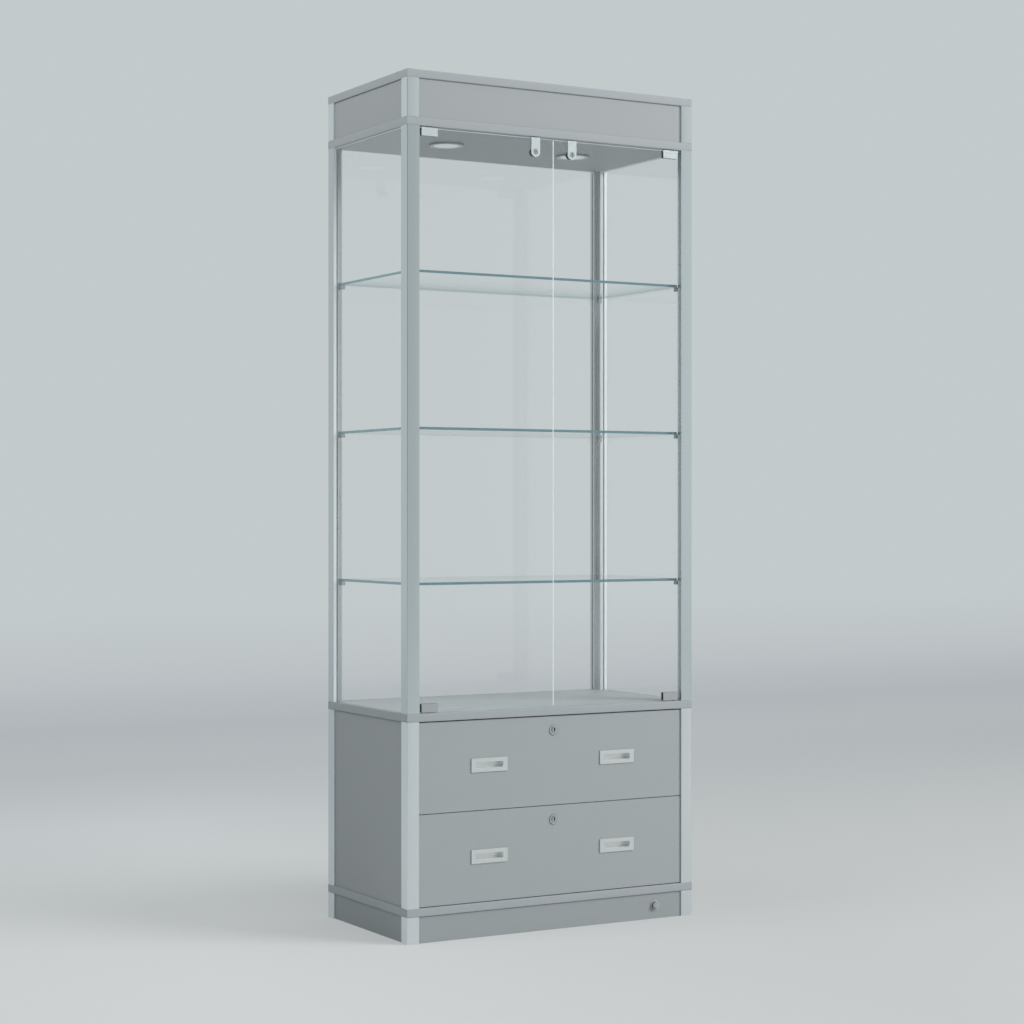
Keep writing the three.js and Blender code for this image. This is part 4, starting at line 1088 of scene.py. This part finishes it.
def stage_material():
    """Studio cove: pale blue-grey, with painted light and shade: darker towards the cove and at the wall's
    foot, and paler to the near left.
    """
    material, tree = new_material("painted_studio_cove")
    place = add_node(tree, "SeparateXYZ", {"Vector": add_node(tree, "TexCoord").outputs["Object"]})
    x, y, z = place.outputs

    def ramp(value, low, high, stops):
        """A colour ramp over a real distance; the stops are (metres, hex value)."""
        where = add_node(tree, "MapRange", {"Value": value, **span(low, high)})
        made = add_node(tree, "ValToRGB", {"Fac": where})
        points = made.color_ramp.elements
        for i, (metres, colour) in enumerate(stops):
            at = (metres - low) / (high - low)
            point = points[i] if i < 2 else points.new(at)
            point.position = at
            point.color = linear(colour)
        return made

    # The floor is painted darker towards the cove: painted shade.
    floor = ramp(y, -1.6, 5.2, [
        (-1.6, "#cdcfd0"), (5.2, "#b1b7ba"), (0.5, "#cacdce"), (2.4, "#c8cdcf"),
        (3.6, "#bfc4c7"), (4.7, "#b2b8bb"),
    ])
    # The floor is painted paler to the near left, a painted pool of light that fades towards the wall.
    slant = add_node(tree, "Math", {0: y, 1: -0.35, 2: x}, operation="MULTIPLY_ADD")
    painted_pool = add_node(tree, "MapRange", {"Value": slant, **span(0.65, -0.75, 0.965, 1.12)})
    fade = add_node(tree, "MapRange", {"Value": y, **span(1.9, 3.3)})
    painted_pool = add_node(tree, "Mix", {"Factor": fade, "A": painted_pool, "B": 0.98})
    floor = add_node(tree, "VectorMath", {0: floor, "Scale": painted_pool}, operation="SCALE")
    # The wall is painted darker at its foot: painted shade of the cove.
    wall = ramp(z, 0.0, 1.0, [
        (0.0, "#b1b7ba"), (1.0, ROOM_TONE), (0.1, "#b5bbbe"), (0.18, "#bac0c3"),
        (0.3, "#bfc5c7"), (0.5, ROOM_TONE),
    ])
    rise = add_node(tree, "MapRange", {"Value": z, **span(0.0, 0.02)})
    tone = add_node(tree, "Mix", {"Factor": rise, "A": floor, "B": wall}, **COLOURS)
    # Far off to the front and the sides, the floor takes the even tone of the room.
    ahead = add_node(tree, "MapRange", {"Value": y, **span(-3.0, -7.0)}, **SMOOTH)
    aside = add_node(tree, "Math", {0: x}, operation="ABSOLUTE")
    aside = add_node(tree, "MapRange", {"Value": aside, **span(6.0, 12.0)}, **SMOOTH)
    far = add_node(tree, "Math", {0: ahead, 1: aside}, operation="MAXIMUM")
    tone = add_node(tree, "Mix", {"Factor": far, "A": tone, "B": linear(ROOM_TONE)}, **COLOURS)
    coat = add_node(tree, "BsdfDiffuse", {"Color": tone})
    seen = add_node(tree, "Emission", {"Color": tone})
    ray = add_node(tree, "LightPath").outputs
    looks = add_node(tree, "Math", {0: ray["Is Camera Ray"], 1: ray["Is Glossy Ray"]}, operation="MAXIMUM")
    looks = add_node(tree, "Math", {0: looks, 1: ray["Is Transmission Ray"]}, operation="MAXIMUM")
    # The wall shows its own tone; the floor shows part of it and is lit for the rest.
    share = add_node(tree, "MapRange", {"Value": y, **span(2.4, 4.7, settings("studio").floor_own)})
    share = add_node(tree, "Math", {0: share, 1: far}, operation="MAXIMUM")
    own = add_node(tree, "Math", {0: looks, 1: share}, operation="MULTIPLY")
    return close(material, add_node(tree, "MixShader", {"Fac": own, 1: coat, 2: seen}))


def room_light():
    """A pale room, softly brighter to the front right, where its windows would be."""
    setup = settings("studio")
    world = bpy.data.worlds.new("soft_room_light")
    world.use_nodes = True
    tree = world.node_tree
    tree.nodes.clear()
    direction = add_node(tree, "TexCoord").outputs["Generated"]

    def lobe(turn, low, high, start, end):
        """A soft patch of the room: a factor that goes from start to end towards a direction."""
        middle = Vector((math.cos(turn), math.sin(turn), 0.05)).normalized()
        facing = add_node(tree, "VectorMath", {0: direction, 1: middle}, operation="DOT_PRODUCT")
        return add_node(tree, "MapRange", {"Value": facing, **span(low, high, start, end)}, **SMOOTH)

    strength = add_node(tree, "Math", {
        0: lobe(GLOW_TURN, 0.915, 0.975, setup.room, setup.room * (1 + setup.glow)),
        1: lobe(DARK_TURN, 0.72, 0.98, 1.0, 1 - setup.dark),
    }, operation="MULTIPLY")
    lit = add_node(tree, "Background", {"Color": linear("#e6eced"), "Strength": strength})
    plain = add_node(tree, "Background", {"Color": linear(ROOM_TONE)})
    seen = add_node(tree, "LightPath").outputs["Is Camera Ray"]
    both = add_node(tree, "MixShader", {"Fac": seen, 1: lit, 2: plain})
    add_node(tree, "OutputWorld", {"Surface": both})
    return world


class CABINET_OT_stage(Operator):
    """Sets up the studio cove, the soft lights, the room light and the camera"""
    bl_idname = "cabinet.stage"
    bl_label = "Studio"

    def execute(self, context):
        scene = context.scene
        setup = settings("studio")
        scene.view_settings.view_transform = "Standard"
        pick()
        bpy.ops.mesh.primitive_plane_add(size=1, location=(0, -3.5, 0))
        cove = context.object
        cove.scale = (40, 17, 1)
        settle(cove, "studio_cove")
        edit(cove, "EDGE", lambda e: all(v.co.y > COVE_TURN for v in e.verts))
        bpy.ops.mesh.extrude_region_move(TRANSFORM_OT_translate={"value": (0, 0, 9)})
        leave_edit()
        round_edges(cove, lambda e: all(v.co.y > COVE_TURN and v.co.z < 0.1 for v in e.verts), 0.15, 8)
        pick(cove)
        bpy.ops.object.shade_smooth()
        cove.data.materials.append(stage_material())

        scene.world = room_light()
        for name, kind, place, aim, reach, energy in (
            ("far_key_light", "SUN", (8, -8, 4.4), (0, 0, 1.0), 0.5, setup.far_key),
            ("near_key_softbox", "AREA", (3.2, -3.4, 3.6), (0, 0, 1.2), 2.5, setup.near_key),
            ("high_left_softbox", "AREA", (-1.9, 0, 2.65), (0, 0, 1.6), 0.9, setup.fill),
        ):
            pick()
            bpy.ops.object.light_add(type=kind, location=place)
            lamp = context.object
            lamp.name = lamp.data.name = name
            setattr(lamp.data, "angle" if kind == "SUN" else "size", reach)
            lamp.data.energy = energy
            lamp.data.color = LAMP_TINT
            # The metal and the glass mirror the room, not the lamps themselves.
            lamp.visible_glossy = False
            turn = (Vector(aim) - Vector(place)).to_track_quat("-Z", "Y")
            lamp.rotation_euler = turn.to_euler()

        pick()
        bpy.ops.object.camera_add(
            location=setup.camera_place, rotation=(math.radians(90), 0, -setup.camera_yaw)
        )
        camera = context.object
        camera.name = "product_camera"
        camera.data.sensor_width = 36
        camera.data.lens = setup.lens_mm
        camera.data.dof.use_dof = False
        camera.data.clip_end = 100
        scene.camera = camera
        return {"FINISHED"}


# ---------------------------------------------------------------- panel and running

STEPS = (
    CABINET_OT_materials,
    CABINET_OT_stage,
    CABINET_OT_boards,
    CABINET_OT_square_posts,
    CABINET_OT_glass_bay_posts,
    CABINET_OT_panels,
    CABINET_OT_fixed_glass,
    CABINET_OT_shelf_rests,
    CABINET_OT_doors,
    CABINET_OT_patch_hinges,
    CABINET_OT_door_locks,
    CABINET_OT_drawers,
    CABINET_OT_handles,
    CABINET_OT_drawer_locks,
    CABINET_OT_downlights,
    CABINET_OT_switch,
)
GROUPS = {
    "cabinet_sizes": CabinetSizes,
    "cabinet_hardware": CabinetHardware,
    "cabinet_finishes": CabinetFinishes,
    "cabinet_studio": CabinetStudio,
}


class CABINET_PT_sidebar(Panel):
    """Lists the cabinet's settings and the steps that make its pieces"""
    bl_label = "Display cabinet"
    bl_idname = "CABINET_PT_sidebar"
    bl_space_type = "VIEW_3D"
    bl_region_type = "UI"
    bl_category = "Cabinet"

    def draw(self, context):
        for key, group in GROUPS.items():
            box = self.layout.box()
            box.label(text=key.replace("_", " ").capitalize())
            for name in group.__annotations__:
                box.prop(getattr(context.scene, key), name)
        for step in STEPS:
            self.layout.operator(step.bl_idname)


def register():
    for part in (*GROUPS.values(), *STEPS, CABINET_PT_sidebar):
        bpy.utils.register_class(part)
    for key, group in GROUPS.items():
        setattr(bpy.types.Scene, key, PointerProperty(type=group))


def unregister():
    for key in GROUPS:
        delattr(bpy.types.Scene, key)
    for part in (CABINET_PT_sidebar, *reversed(STEPS), *reversed(list(GROUPS.values()))):
        bpy.utils.unregister_class(part)


def main():
    register()
    bpy.ops.object.select_all(action="DESELECT")
    for step in STEPS:
        area, _, name = step.bl_idname.partition(".")
        getattr(getattr(bpy.ops, area), name)()


if __name__ == "__main__":
    main()
